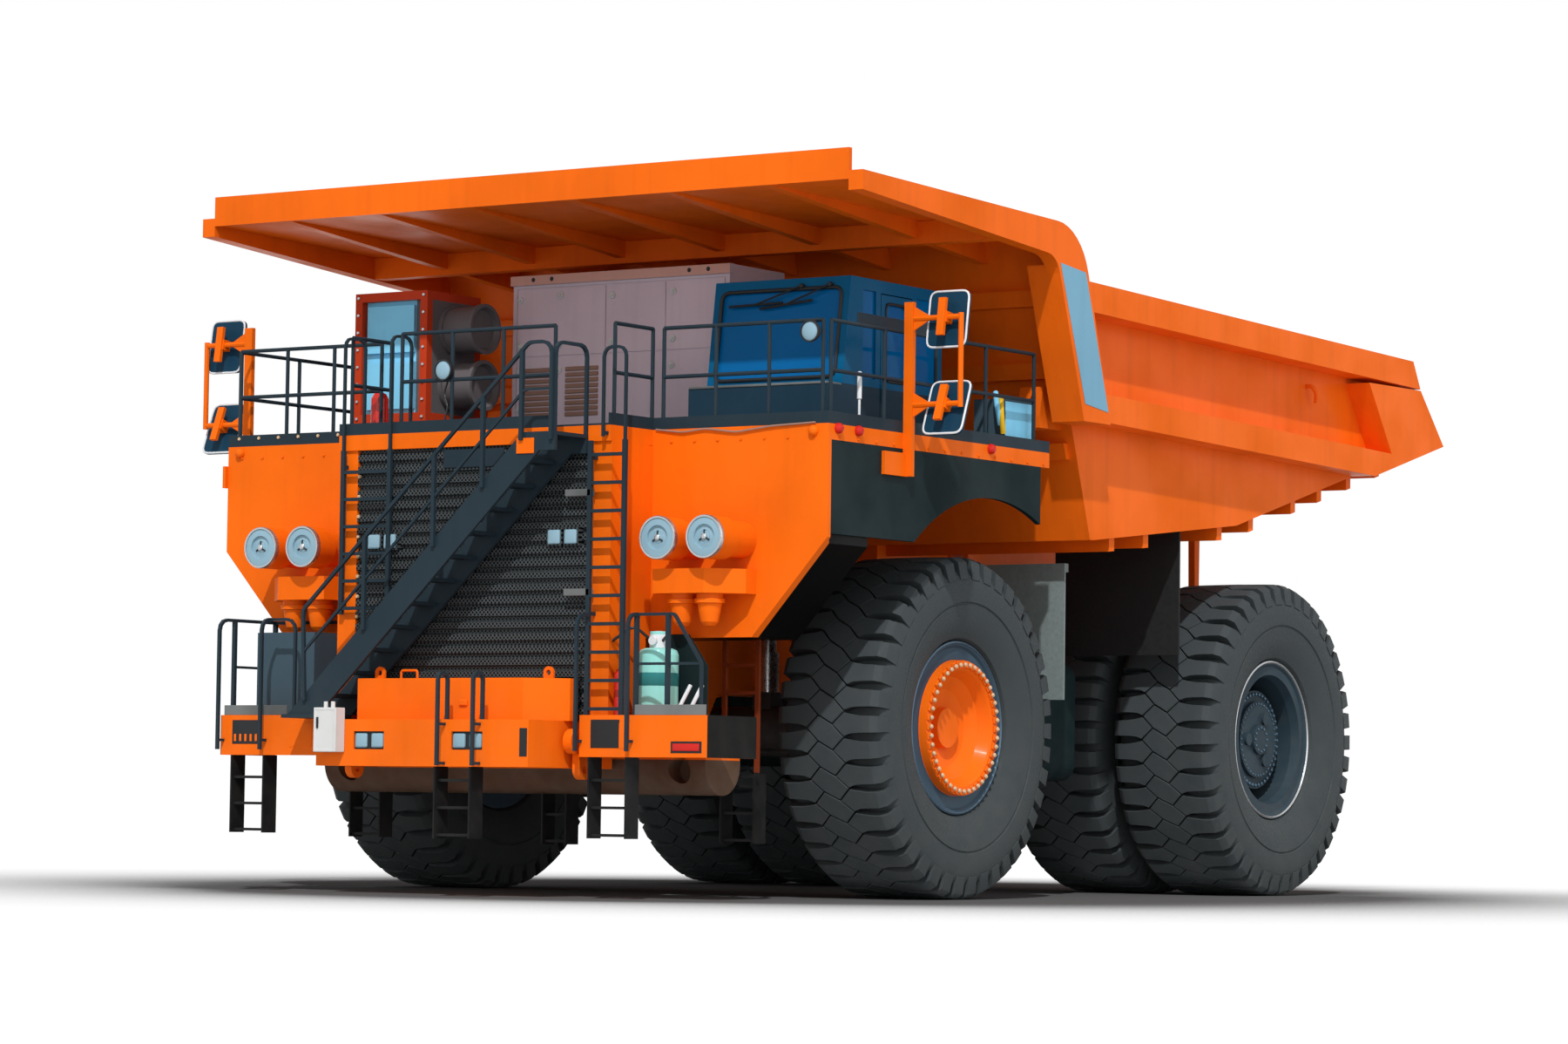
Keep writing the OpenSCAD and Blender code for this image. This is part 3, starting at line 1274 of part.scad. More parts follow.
// Canopy over the deck with its lip, ribs, sides and posts
module canopy() {
    z2 = meet(head_t);
    pf = [head(post_foot) - post_front, post_foot];
    pb = [post_rear(post_foot), post_foot];
    brow = 7100;
    wing = concat([[canopy_y, wing_low], [canopy_y, wing_high]],
        round_corner([canopy_y, wing_high], knee, pb, 740, 8), [pb, pf],
        round_corner(pf, elbow, [canopy_y, wing_low], 300, 5));
    color([0.85, 0.32, 0.05]) placed() union() {
        along_x([[canopy_y, plate(canopy_y)], [head(z2) + head_t, z2], [head(z2) + head_t, z2 + 60],
            [canopy_y, plate(canopy_y) + 60]], -canopy_x, canopy_x);
        box(-canopy_x, canopy_x, canopy_y, canopy_y + 60, canopy_z - 13, lip_z);
        for (x = [-3300, -2000, -700, 700, 2000, 3300]) {
            along_x([[canopy_y + 1, plate(canopy_y) + 1], [canopy_y + 1, plate(canopy_y) - 12],
                [head(meet(0) - 290) - fit, meet(0) - 290], [head(meet(0)) - fit, meet(0)]], x - 60, x + 60);
            along_x([[canopy_y + 1, plate(canopy_y)], [canopy_y + 1, lip_z - 60],
                [canopy_y + 330, plate(canopy_y) + 59]], x - 15, x + 15);
        }
        box(-canopy_x, canopy_x, -420, -240, 7270, plate(-240) + 1);
        both() {
            along_x(wing, canopy_x - 1, wing_x);
            along_x([pf, pb, [post_rear(brow), brow], [head(brow) - post_front, brow]],
                side_x + side_t, canopy_x);
            along_x([[head(brow), brow - 1], [post_rear(brow), brow - 1], [head(z2) + head_t, z2 + 1],
                [head(meet(0)), meet(0) + 1]], side_x + side_t, canopy_x);
        }
    }
}

module rear_flaps() {
    color([0.3, 0.3, 0.3]) placed() both()
        along_x([[flap_y, under(flap_y) - fit], [flap_y + 30, under(flap_y + 30) - fit],
            [flap_y + 30, axle_z + 960], [flap_y, axle_z + 960]], 2300, side_x - 60);
}

module rock_ejectors() {
    x = (rear_track + inner_track) / 2;
    y = wheelbase + 340;
    color([0.85, 0.32, 0.05]) placed() both()
        along_x([[y - 70, under(y - 70) - fit], [y + 70, under(y + 70) - fit], [y + 45, axle_z + 1400],
            [y - 45, axle_z + 1400]], x - 45, x + 45);
}

// Places a hoist's piece with its foot at the origin and its length up
module hoist_at() {
    placed() both() translate([hoist_x, hoist_y, hoist_z]) rotate([hoist_a, 0, 0]) children();
}

module hoist_barrels() {
    color([0.75, 0.3, 0.08]) hoist_at() difference() {
        union() {
            rod_x(12 - barrel_r, barrel_r - 12, 0, 0, barrel_r - 20);
            rod_z(0, 0, 0, barrel_l, barrel_r);
        }
        rod_x(-300, 300, 0, 0, pin_r + fit);
        rod_z(0, 0, 220, barrel_l + 1, sleeve_r + fit);
    }
}

module hoist_sleeves() {
    color([0.6, 0.61, 0.63]) hoist_at() difference() {
        rod_z(0, 0, 260, barrel_l + 60, sleeve_r);
        rod_z(0, 0, 300, barrel_l + 61, rod_r + fit);
    }
}

module hoist_rods() {
    color([0.72, 0.73, 0.75]) hoist_at() union() {
        rod_z(0, 0, 330, hoist_l - 60, rod_r);
        rod_x(fit - ear_gap, ear_gap - fit, 0, hoist_l, pin_r + 20);
    }
}

frame();
front_bumper();
tow_eyes();
engine();
radiator();
grille();
nose_and_fenders();
headlamps();
air_cleaners();
deck();
deck_beam();
skirts();
cab_shell();
cab_glass();
cab_door();
door_glass();
cab_interior();
control_cabinet();
resistor_units();
resistor_rack();
stairs();
stair_rails();
ladders();
deck_rails();
mirror_brackets();
mirrors();
lube_tank();
battery_box();
extinguishers();
tanks();
front_flaps();
front_axle();
rear_axle();
suspension_struts();
body_floor();
body_headboard();
body_sides();
canopy();
rear_flaps();
rock_ejectors();
hoist_barrels();
hoist_sleeves();
hoist_rods();
knuckle_left();
knuckle_right();
tie_rod();
front_tyre_left();
front_tyre_right();
front_rim_left();
front_rim_right();
rear_tyres_left();
rear_tyres_right();
rear_rims_left();
rear_rims_right();
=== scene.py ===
# %% [markdown]
# # A mining dump truck, dressed in Blender
# The truck's construction comes from its CAD model, which is loaded as a fixed frame. This lesson adds what
# the frame leaves out: tread, bolts, lamps, panels and the finish of every surface.

# %% Load the frame
import json
import math

import bpy
from mathutils import Matrix, Vector


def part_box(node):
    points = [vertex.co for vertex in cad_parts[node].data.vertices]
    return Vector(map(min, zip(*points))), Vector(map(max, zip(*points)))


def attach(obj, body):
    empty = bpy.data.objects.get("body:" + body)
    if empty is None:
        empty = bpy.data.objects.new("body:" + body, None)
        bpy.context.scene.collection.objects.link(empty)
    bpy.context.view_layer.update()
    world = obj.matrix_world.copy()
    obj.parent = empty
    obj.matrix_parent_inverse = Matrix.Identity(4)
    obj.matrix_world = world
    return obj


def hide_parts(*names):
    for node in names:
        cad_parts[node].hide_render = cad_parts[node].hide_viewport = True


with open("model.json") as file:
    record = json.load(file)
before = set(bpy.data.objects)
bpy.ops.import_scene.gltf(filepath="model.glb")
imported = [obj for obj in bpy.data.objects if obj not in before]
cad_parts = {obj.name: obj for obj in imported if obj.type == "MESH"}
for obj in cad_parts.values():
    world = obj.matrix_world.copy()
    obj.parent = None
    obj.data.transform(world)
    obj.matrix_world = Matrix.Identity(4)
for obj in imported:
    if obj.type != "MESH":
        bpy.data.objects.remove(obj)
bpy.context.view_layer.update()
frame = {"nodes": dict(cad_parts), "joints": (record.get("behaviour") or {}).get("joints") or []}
joint_places = {joint["name"]: joint.get("pos_m") for joint in frame["joints"]}

# %% [markdown]
# The photograph was taken from the front left corner, low down and from far away, so a long lens stands
# about fifty metres off and a little below the bumper. The camera leans a fraction of a degree to one side.

# %% Camera
CAMERA_PLACE = (31.0775, -47.352, 0.9812)
CAMERA_LOOK = (-0.554273, 0.830113, 0.060780)
CAMERA_ROLL = math.radians(0.7605)
CAMERA_LENS = 108.02

camera = bpy.data.objects.new("camera", bpy.data.cameras.new("camera"))
bpy.context.scene.collection.objects.link(camera)
level = Vector(CAMERA_LOOK).to_track_quat("-Z", "Y").to_matrix().to_4x4()
camera.matrix_world = Matrix.Translation(CAMERA_PLACE) @ level @ Matrix.Rotation(CAMERA_ROLL, 4, "Z")
camera.data.lens = CAMERA_LENS
camera.data.sensor_width = 36.0
camera.data.clip_end = 400.0
bpy.context.scene.camera = camera
print("camera axes:", [tuple(round(x, 4) for x in column) for column in camera.matrix_world.to_3x3().col])

# %% [markdown]
# The background is plain white. The world is white to the camera and to reflections, but lights the truck at
# a lower level, so that a colour renders about as it is written. A Light Path node tells the two apart.

# %% World
WORLD_LIGHT = 0.46


def add_node(tree, kind, **values):
    """A new node with its named properties or input sockets set."""
    node = tree.nodes.new(kind)
    for key, value in values.items():
        if key in node.inputs:
            node.inputs[key].default_value = value
        else:
            setattr(node, key, value)
    return node


def sees_background(tree):
    """A value that is 1 for camera, mirror and glass rays, and 0 for light."""
    path = add_node(tree, "ShaderNodeLightPath")
    either = add_node(tree, "ShaderNodeMath", operation="MAXIMUM")
    both = add_node(tree, "ShaderNodeMath", operation="MAXIMUM")
    tree.links.new(path.outputs["Is Camera Ray"], either.inputs[0])
    tree.links.new(path.outputs["Is Glossy Ray"], either.inputs[1])
    tree.links.new(either.outputs[0], both.inputs[0])
    tree.links.new(path.outputs["Is Transmission Ray"], both.inputs[1])
    return both.outputs[0]


world = bpy.data.worlds.new("studio")
bpy.context.scene.world = world
world.use_nodes = True
sky = world.node_tree.nodes["Background"]
sky.inputs["Color"].default_value = (1, 1, 1, 1)
level_of = add_node(world.node_tree, "ShaderNodeMapRange", **{"To Min": WORLD_LIGHT, "To Max": 1.0})
world.node_tree.links.new(sees_background(world.node_tree), level_of.inputs["Value"])
world.node_tree.links.new(level_of.outputs["Result"], sky.inputs["Strength"])
print("world: white to the camera, light level", WORLD_LIGHT)

# %% [markdown]
# The floor glows to the camera where open air lies over it, which lifts it to white and leaves a soft shadow
# under the truck. Light bounces off it as off mid grey, so the truck's underside stays dark. One large plane
# is enough, because nothing of it shows but the shadow.

# %% Floor
FLOOR_GLOW = 0.88
FLOOR_BOUNCE = 0.62
CONTACT_REACH = 18.0
SHADE_BELOW, OPEN_ABOVE, OPEN_GLOW = 0.68, 0.955, 1.05
FLOOR_SIZE, FLOOR_BACK = 400, 60

floor_paint = bpy.data.materials.new("pale_floor")
floor_paint.use_nodes = True
tree = floor_paint.node_tree
tree.nodes.clear()
matt = add_node(tree, "ShaderNodeBsdfDiffuse", Color=(0.9, 0.9, 0.9, 1))
dim = add_node(tree, "ShaderNodeBsdfDiffuse", Color=(FLOOR_BOUNCE, FLOOR_BOUNCE, FLOOR_BOUNCE, 1))
open_air = add_node(tree, "ShaderNodeAmbientOcclusion", Distance=CONTACT_REACH, samples=32)
air_range = {"From Min": SHADE_BELOW, "From Max": OPEN_ABOVE, "To Max": OPEN_GLOW}
lit = add_node(tree, "ShaderNodeMapRange", **air_range)
glow = add_node(tree, "ShaderNodeEmission", Color=(1, 1, 1, 1))
tree.links.new(open_air.outputs["AO"], lit.inputs["Value"])
tree.links.new(lit.outputs["Result"], glow.inputs["Strength"])
lifted = add_node(tree, "ShaderNodeMixShader", Fac=FLOOR_GLOW)
blend = add_node(tree, "ShaderNodeMixShader")
out = add_node(tree, "ShaderNodeOutputMaterial")
tree.links.new(matt.outputs[0], lifted.inputs[1])
tree.links.new(glow.outputs[0], lifted.inputs[2])
tree.links.new(sees_background(tree), blend.inputs[0])
tree.links.new(dim.outputs[0], blend.inputs[1])
tree.links.new(lifted.outputs[0], blend.inputs[2])
tree.links.new(blend.outputs[0], out.inputs[0])

bpy.ops.object.select_all(action="DESELECT")
bpy.ops.mesh.primitive_plane_add(size=FLOOR_SIZE, location=(0, FLOOR_BACK, 0))
floor = bpy.context.object
floor.name = "floor"
bpy.ops.object.transform_apply(location=True)
floor.data.materials.append(floor_paint)
print("floor:", FLOOR_SIZE, "m square")

# %% [markdown]
# A hard sun stands high in front of the truck, on its left. Two soft lamps fill the front and the left side,
# where the sun alone would leave the shadows too dark. The Standard view shows colours as they are written.

# %% Lamps
SUN_POWER = 2.6
SUN_FROM = (0.36, -0.62, 0.72)
SUN_SOFTNESS = math.radians(1.2)
SIDE_POWER = 0.62
SIDE_FROM = (0.9, -0.15, 0.3)
FRONT_POWER = 0.5
FRONT_FROM = (0.2, -0.95, 0.12)
FILL_SOFTNESS = math.radians(50)
for name, power, softness, direction in (("key_light", SUN_POWER, SUN_SOFTNESS, SUN_FROM),
                                         ("side_light", SIDE_POWER, FILL_SOFTNESS, SIDE_FROM),
                                         ("front_light", FRONT_POWER, FILL_SOFTNESS, FRONT_FROM)):
    lamp = bpy.data.objects.new(name, bpy.data.lights.new(name, "SUN"))
    bpy.context.scene.collection.objects.link(lamp)
    lamp.data.energy = power
    lamp.data.angle = softness
    lamp.rotation_euler = Vector(direction).to_track_quat("Z", "Y").to_euler()
bpy.context.scene.view_settings.view_transform = "Standard"
print("lamps: sun", SUN_POWER, "side", SIDE_POWER, "front", FRONT_POWER)

# %% [markdown]
# Every finish shares a few effects. Weathering is cloudy patches with fine speckle, dust grows toward the
# ground, and rain leaves upright streaks. Each is a node group, built once and placed in each material.

# %% Shared effects as node groups


def new_group(name, inputs, outputs):
    """A shader node group with float inputs and outputs, and its input and output nodes."""
    group = bpy.data.node_groups.new(name, "ShaderNodeTree")
    for label, value in inputs.items():
        socket = group.interface.new_socket(label, in_out="INPUT", socket_type="NodeSocketFloat")
        socket.default_value = value
    for label in outputs:
        group.interface.new_socket(label, in_out="OUTPUT", socket_type="NodeSocketFloat")
    return group, group.nodes.new("NodeGroupInput"), group.nodes.new("NodeGroupOutput")


def noise(tree, scale, detail, stretch=(1, 1, 1)):
    """Noise on Object coordinates, stretched along an axis where wanted."""
    place = add_node(tree, "ShaderNodeTexCoord")
    turn = add_node(tree, "ShaderNodeMapping", Scale=stretch)
    cloud = add_node(tree, "ShaderNodeTexNoise", Scale=scale, Detail=detail)
    tree.links.new(place.outputs["Object"], turn.inputs["Vector"])
    tree.links.new(turn.outputs[0], cloud.inputs["Vector"])
    return cloud


def coordinates(tree):
    """The X, Y and Z of a place on the surface, in the truck's own frame."""
    place = add_node(tree, "ShaderNodeTexCoord")
    split = add_node(tree, "ShaderNodeSeparateXYZ")
    tree.links.new(place.outputs["Object"], split.inputs[0])
    return split.outputs


def ramp(tree, value, low, high):
    """The value stretched so that low becomes 0 and high becomes 1."""
    node = add_node(tree, "ShaderNodeMapRange", **{"From Min": low, "From Max": high})
    tree.links.new(value, node.inputs["Value"])
    return node.outputs["Result"]


def times(tree, a, b):
    """Two values multiplied; either may be a plain number."""
    node = add_node(tree, "ShaderNodeMath", operation="MULTIPLY")
    for socket, value in zip(node.inputs, (a, b)):
        if isinstance(value, (int, float)):
            socket.default_value = value
        else:
            tree.links.new(value, socket)
    return node.outputs[0]


weather, inside, outside = new_group("weathering", {"Patch Scale": 1.5}, ["Patches", "Speckle"])
patches = noise(weather, 1.5, 6)
weather.links.new(inside.outputs["Patch Scale"], patches.inputs["Scale"])
weather.links.new(ramp(weather, patches.outputs["Fac"], 0.38, 0.68), outside.inputs["Patches"])
weather.links.new(noise(weather, 90, 3).outputs["Fac"], outside.inputs["Speckle"])

dust, inside, outside = new_group("road_dust", {"Height": 2.0}, ["Dust"])
low_down = add_node(dust, "ShaderNodeMapRange", **{"From Min": 0.0, "To Min": 1.0, "To Max": 0.0})
dust.links.new(coordinates(dust)["Z"], low_down.inputs["Value"])
dust.links.new(inside.outputs["Height"], low_down.inputs["From Max"])
broken = ramp(dust, noise(dust, 4.0, 8).outputs["Fac"], 0.3, 0.75)
dust.links.new(times(dust, low_down.outputs["Result"], broken), outside.inputs["Dust"])

streaks, inside, outside = new_group("rain_streaks", {"Amount": 0.5}, ["Streaks"])
lines = ramp(streaks, noise(streaks, 6.0, 4, (1, 1, 0.06)).outputs["Fac"], 0.5, 0.8)
streaks.links.new(times(streaks, lines, inside.outputs["Amount"]), outside.inputs["Streaks"])
print("effects:", [group.name for group in (weather, dust, streaks)])

# %% [markdown]
# A finish is built from small steps: an effect is placed, two colours are blended, a bump is laid on the
# normal. Each step is a function, so that a material reads as a short list of them.

# %% Steps of a finish


def use_group(tree, group, **values):
    """The shared effect placed in a material with its own values."""
    node = add_node(tree, "ShaderNodeGroup", node_tree=group)
    for key, value in values.items():
        node.inputs[key.replace("_", " ")].default_value = value
    return node


def mix_colour(tree, factor, first, second, blend="MIX"):
    """Two colours blended by a factor; each may be a socket or a plain colour."""
    node = add_node(tree, "ShaderNodeMix", data_type="RGBA", blend_type=blend)
    tree.links.new(factor, node.inputs[0])
    for socket, value in ((node.inputs[6], first), (node.inputs[7], second)):
        if isinstance(value, tuple):
            socket.default_value = (*value, 1)
        else:
            tree.links.new(value, socket)
    return node.outputs[2]


def roughen(tree, shader, height, strength, distance):
    """A bump on the shader's normal from a height value."""
    bump = add_node(tree, "ShaderNodeBump", Strength=strength, Distance=distance)
    tree.links.new(height, bump.inputs["Height"])
    tree.links.new(bump.outputs[0], shader.inputs["Normal"])


def new_material(name):
    """An empty material with its tree and its Principled shader."""
    material = bpy.data.materials.new(name)
    material.use_nodes = True
    return material, material.node_tree, material.node_tree.nodes["Principled BSDF"]


def darken(tree, factor, colour, shade):
    """A colour multiplied by a shade of grey where the factor is high."""
    return mix_colour(tree, factor, colour, (shade, shade, shade), "MULTIPLY")


print("steps of a finish:", use_group.__name__, mix_colour.__name__, darken.__name__, roughen.__name__)

# %% [markdown]
# Paint is the truck's main finish. On the real truck it is sprayed over welded plate, so it has a fine
# orange-peel skin, slightly uneven gloss, faint rain streaks and dust low down. One function mixes these.

# %% Paint
DUST = (0.36, 0.31, 0.26)
STREAK_SHADE = 0.75
PEEL, PEEL_DEPTH = 0.1, 0.004


def paint(name, colour, layers=(), shade=0.86, rough=0.42, coat=0.03, dusty=0.05, streaky=0.3):
    """Sprayed paint: other colours and painted shade behind masks, then patches, streaks, dust and orange
    peel.
    """
    material, tree, shader = new_material(name)
    worn = use_group(tree, weather, Patch_Scale=0.9)
    low = use_group(tree, dust, Height=3.0)
    wet = use_group(tree, streaks, Amount=streaky)
    base = colour
    for mask_of, other in layers:
        base = mix_colour(tree, mask_of(tree), base, other)
    base = darken(tree, worn.outputs["Patches"], base, shade)
    base = darken(tree, wet.outputs["Streaks"], base, STREAK_SHADE)
    base = mix_colour(tree, times(tree, low.outputs["Dust"], dusty), base, DUST)
    tree.links.new(base, shader.inputs["Base Color"])
    gloss = ramp(tree, worn.outputs["Patches"], -1.0, 1.0)
    tree.links.new(times(tree, gloss, rough * 1.4), shader.inputs["Roughness"])
    shader.inputs["Specular IOR Level"].default_value = 0.06
    shader.inputs["Coat Weight"].default_value = coat
    shader.inputs["Coat Roughness"].default_value = 0.12
    roughen(tree, shader, worn.outputs["Speckle"], PEEL, PEEL_DEPTH)
    return material


ORANGE = (0.86, 0.142, 0.0045)
SLATE = (0.02, 0.034, 0.045)
BLACK = (0.01, 0.011, 0.012)
PITCH_DARK = (0.002, 0.002, 0.002)
orange_paint = paint("orange_paint", ORANGE)
body_paint = paint("body_paint", (0.85, 0.14, 0.006), rough=0.45, streaky=0.4)
slate_paint = paint("slate_paint", SLATE, rough=0.45)
skirt_paint = paint("dark_grey_paint", (0.008, 0.018, 0.02), rough=0.55)
box_paint = paint("box_paint", (0.05, 0.085, 0.11), rough=0.5)
mirror_paint = paint("mirror_paint", (0.008, 0.04, 0.075), rough=0.35)
cabinet_paint = paint("cabinet_paint", (0.66, 0.55, 0.62), rough=0.5, dusty=0.0)
resistor_paint = paint("resistor_paint", (0.22, 0.6, 0.85), rough=0.5)
teal_paint = paint("teal_paint", (0.3, 0.72, 0.66), rough=0.35)
dark_teal = paint("dark_teal", (0.03, 0.2, 0.2), rough=0.35)
red_paint = paint("red_paint", (0.62, 0.02, 0.012), rough=0.25, coat=0.5)
rim_paint = paint("rim_paint", (0.025, 0.045, 0.06), rough=0.4, dusty=0.1)
brown_paint = paint("brown_paint", (0.32, 0.19, 0.145), rough=0.5)
strip_paint = paint("strip_paint", (0.66, 0.38, 0.32), rough=0.5)
worn_paint = paint("worn_paint", (0.17, 0.18, 0.18), shade=0.5, rough=0.6)
white_paint = paint("white_paint", (0.72, 0.74, 0.76), rough=0.4)
yellow_paint = paint("yellow_paint", (0.75, 0.45, 0.02), rough=0.4)
panel_paint = paint("panel_paint", (0.18, 0.38, 0.52), shade=0.92, rough=0.3)
engine_paint = paint("engine_paint", (0.09, 0.08, 0.06), rough=0.6, coat=0.0, dusty=0.6)
pale_paint = paint("pale_grey_paint", (0.62, 0.63, 0.62), rough=0.4)
rack_paint = paint("rack_paint", (0.5, 0.045, 0.012), rough=0.45)
print("plain paints made, from", orange_paint.name, "to", rack_paint.name)

# %% [markdown]
# The other finishes are rubber, bare steel, black mesh, glass and plastic. Rubber is matt with a dusty
# bloom, and machined steel is bright with a fine grain.

# %% Rubber, steel, glass and plastic


def plain(name, colour, rough, metal=0.0, grain=60, bump=0.15, bloom=0.0):
    """A surface with grain in its colour and bump, and a dusty bloom where wanted."""
    material, tree, shader = new_material(name)
    cloud = noise(tree, grain, 4)
    fine = ramp(tree, cloud.outputs["Fac"], 0.3, 0.7)
    base = mix_colour(tree, fine, tuple(channel * 0.82 for channel in colour), colour)
    if bloom:
        low = use_group(tree, dust, Height=3.6)
        base = mix_colour(tree, times(tree, low.outputs["Dust"], bloom), base, DUST)
    tree.links.new(base, shader.inputs["Base Color"])
    tree.links.new(ramp(tree, cloud.outputs["Fac"], 0.5 - rough, 1.5 - rough), shader.inputs["Roughness"])
    shader.inputs["Metallic"].default_value = metal
    shader.inputs["Specular IOR Level"].default_value = 0.2
    roughen(tree, shader, cloud.outputs["Fac"], bump, 0.003)
    return material


def glass(name, colour, clear, coat=0.0):
    """Tinted glass with the sky in it, clear where wanted."""
    material, tree, shader = new_material(name)
    cloud = noise(tree, 1.2, 2)
    tint = mix_colour(tree, cloud.outputs["Fac"], colour, tuple(channel * 0.8 for channel in colour))
    tree.links.new(tint, shader.inputs["Base Color"])
    shader.inputs["Roughness"].default_value = 0.03
    shader.inputs["IOR"].default_value = 1.5
    shader.inputs["Alpha"].default_value = clear
    shader.inputs["Specular IOR Level"].default_value = 0.06
    shader.inputs["Coat Weight"].default_value = coat
    shader.inputs["Coat Roughness"].default_value = 0.02
    return material


tyre_rubber = plain("tyre_rubber", (0.042, 0.052, 0.056), 0.72, grain=40, bump=0.25, bloom=0.05)
flap_rubber = plain("flap_rubber", (0.19, 0.235, 0.23), 0.7, grain=25)
dark_rubber = plain("dark_rubber", (0.014, 0.015, 0.015), 0.7, grain=25)
cast_steel = plain("cast_steel", (0.06, 0.06, 0.06), 0.6, metal=0.3, grain=50, bump=0.3, bloom=0.3)
bright_steel = plain("bright_steel", (0.55, 0.56, 0.57), 0.28, metal=0.9, grain=120, bump=0.05)
black_mesh = plain("black_mesh", (0.014, 0.015, 0.017), 0.55, grain=80)
black_plastic = plain("black_plastic", (0.02, 0.022, 0.024), 0.45, grain=150, bump=0.1)
seat_black = plain("seat_black", (0.018, 0.018, 0.02), 0.6, grain=200, bump=0.2)
nut_metal = plain("nut_metal", (0.66, 0.46, 0.28), 0.4, metal=0.2, grain=90, bump=0.05)
blue_steel = plain("blue_steel", (0.09, 0.15, 0.21), 0.35, metal=0.5, grain=90, bump=0.05)
window_glass = glass("window_glass", (0.001, 0.14, 0.4), clear=0.88)
lamp_lens = glass("lamp_lens", (0.27, 0.43, 0.52), clear=1.0, coat=0.2)
red_lens = glass("red_lens", (0.6, 0.02, 0.015), clear=1.0, coat=0.2)
print("rubber, steel, glass and plastic made")

# %% [markdown]
# Some pieces show two or three colours on one casting. On the front rims the orange hub meets the steel rim
# at a known radius. The grille is a sheet with rows of round holes. The ladders are painted with shade: dark
# shaded orange behind the fender and black below the steps. The ends of the steps, what lies behind the nose
# and the frame's cross tube under the bumper are painted dark as the deep shade they sit in. Masks on Object
# coordinates draw these edges, so that no piece has to be cut up for its colours.

# %% Finishes in several colours
FRONT_AXLE = joint_places["front_roll_left"][1]
AXLE_HEIGHT = joint_places["front_roll_left"][2]
MASK_BLUR = 0.006
HUB_EDGE = 0.752
STEP_END = 3.292
LADDER_SHADE_Z, SHADED_ORANGE_FROM_Z, CAB_BASE_Z, CROSS_TUBE_Z = 1.5, 1.36, 5.595, 1.49
SHADED_ORANGE_FROM_Y, NOSE_SHADE_Y = FRONT_AXLE - 2.95, FRONT_AXLE - 3.2


def past(axis, edge, way=1):
    """A mask that is 1 past an edge along an axis, or before it where way is -1."""
    return lambda tree: ramp(tree, coordinates(tree)[axis], edge, edge + way * MASK_BLUR)


def both_of(first, second):
    """A mask that is 1 where two masks are."""
    return lambda tree: times(tree, first(tree), second(tree))


def outside_hub(tree):
    """1 on the steel outside the front hub's ring, 0 on the hub."""
    place = add_node(tree, "ShaderNodeTexCoord")
    centred = add_node(tree, "ShaderNodeMapping", Location=(0, -FRONT_AXLE, -AXLE_HEIGHT), Scale=(0, 1, 1))
    reach = add_node(tree, "ShaderNodeVectorMath", operation="LENGTH")
    tree.links.new(place.outputs["Object"], centred.inputs["Vector"])
    tree.links.new(centred.outputs[0], reach.inputs[0])
    return ramp(tree, reach.outputs["Value"], HUB_EDGE, HUB_EDGE + 0.004)


def in_holes(tree):
    """1 in the grille's round holes, set in staggered rows."""
    place = coordinates(tree)
    flat = add_node(tree, "ShaderNodeCombineXYZ")
    turn = add_node(tree, "ShaderNodeMapping", Rotation=(0, 0, math.radians(45)), Scale=(28, 28, 28))
    cells = add_node(tree, "ShaderNodeTexVoronoi", voronoi_dimensions="2D", Scale=1.0, Randomness=0.0)
    tree.links.new(place["X"], flat.inputs["X"])
    tree.links.new(place["Z"], flat.inputs["Y"])
    tree.links.new(flat.outputs[0], turn.inputs["Vector"])
    tree.links.new(turn.outputs[0], cells.inputs["Vector"])
    return ramp(tree, cells.outputs["Distance"], 0.42, 0.34)


# Painted shade on the ladders: dark shaded orange behind the fender, and black below the steps.
behind_fender = both_of(past("Y", SHADED_ORANGE_FROM_Y), past("Z", SHADED_ORANGE_FROM_Z))
ladder_shade_layers = [(past("Z", LADDER_SHADE_Z, -1), BLACK), (behind_fender, (0.17, 0.03, 0.008))]
cab_base = [(past("Z", CAB_BASE_Z, -1), (0.014, 0.04, 0.066))]
# The open ends of the steps are painted near-black as shade.
step_end_shade = [(past("X", STEP_END), PITCH_DARK), (past("X", -STEP_END, -1), PITCH_DARK)]
# The frame is painted dark brown below CROSS_TUBE_Z, as painted shade on the cross tube under the bumper.
cross_tube_shade = [(past("Z", CROSS_TUBE_Z, -1), (0.1, 0.055, 0.034))]
front_rim_paint = paint("front_rim_paint", ORANGE, [(outside_hub, (0.04, 0.075, 0.11))], rough=0.4)
grille_sheet = paint("grille_sheet", (0.07, 0.08, 0.085), [(in_holes, PITCH_DARK)])
ladder_paint = paint("ladder_paint", SLATE, ladder_shade_layers)
cab_paint = paint("cab_paint", (0.0005, 0.1, 0.23), cab_base, rough=0.38)
unit_paint = paint("unit_paint", (0.22, 0.6, 0.85), [(past("X", -2.33), (0.12, 0.11, 0.115))])
bumper_paint = paint("bumper_paint", ORANGE, step_end_shade)
# Everything of the nose and fenders behind NOSE_SHADE_Y is painted near-black as shade.
nose_paint = paint("nose_paint", ORANGE, [(past("Y", NOSE_SHADE_Y), PITCH_DARK)])
frame_paint = paint("frame_paint", ORANGE, cross_tube_shade, dusty=0.2)
print("layered paints made")

# %% [markdown]
# Each CAD piece takes one of these finishes in its material slots. Its mesh is left alone, because it is the
# true shape that everything else is measured against.

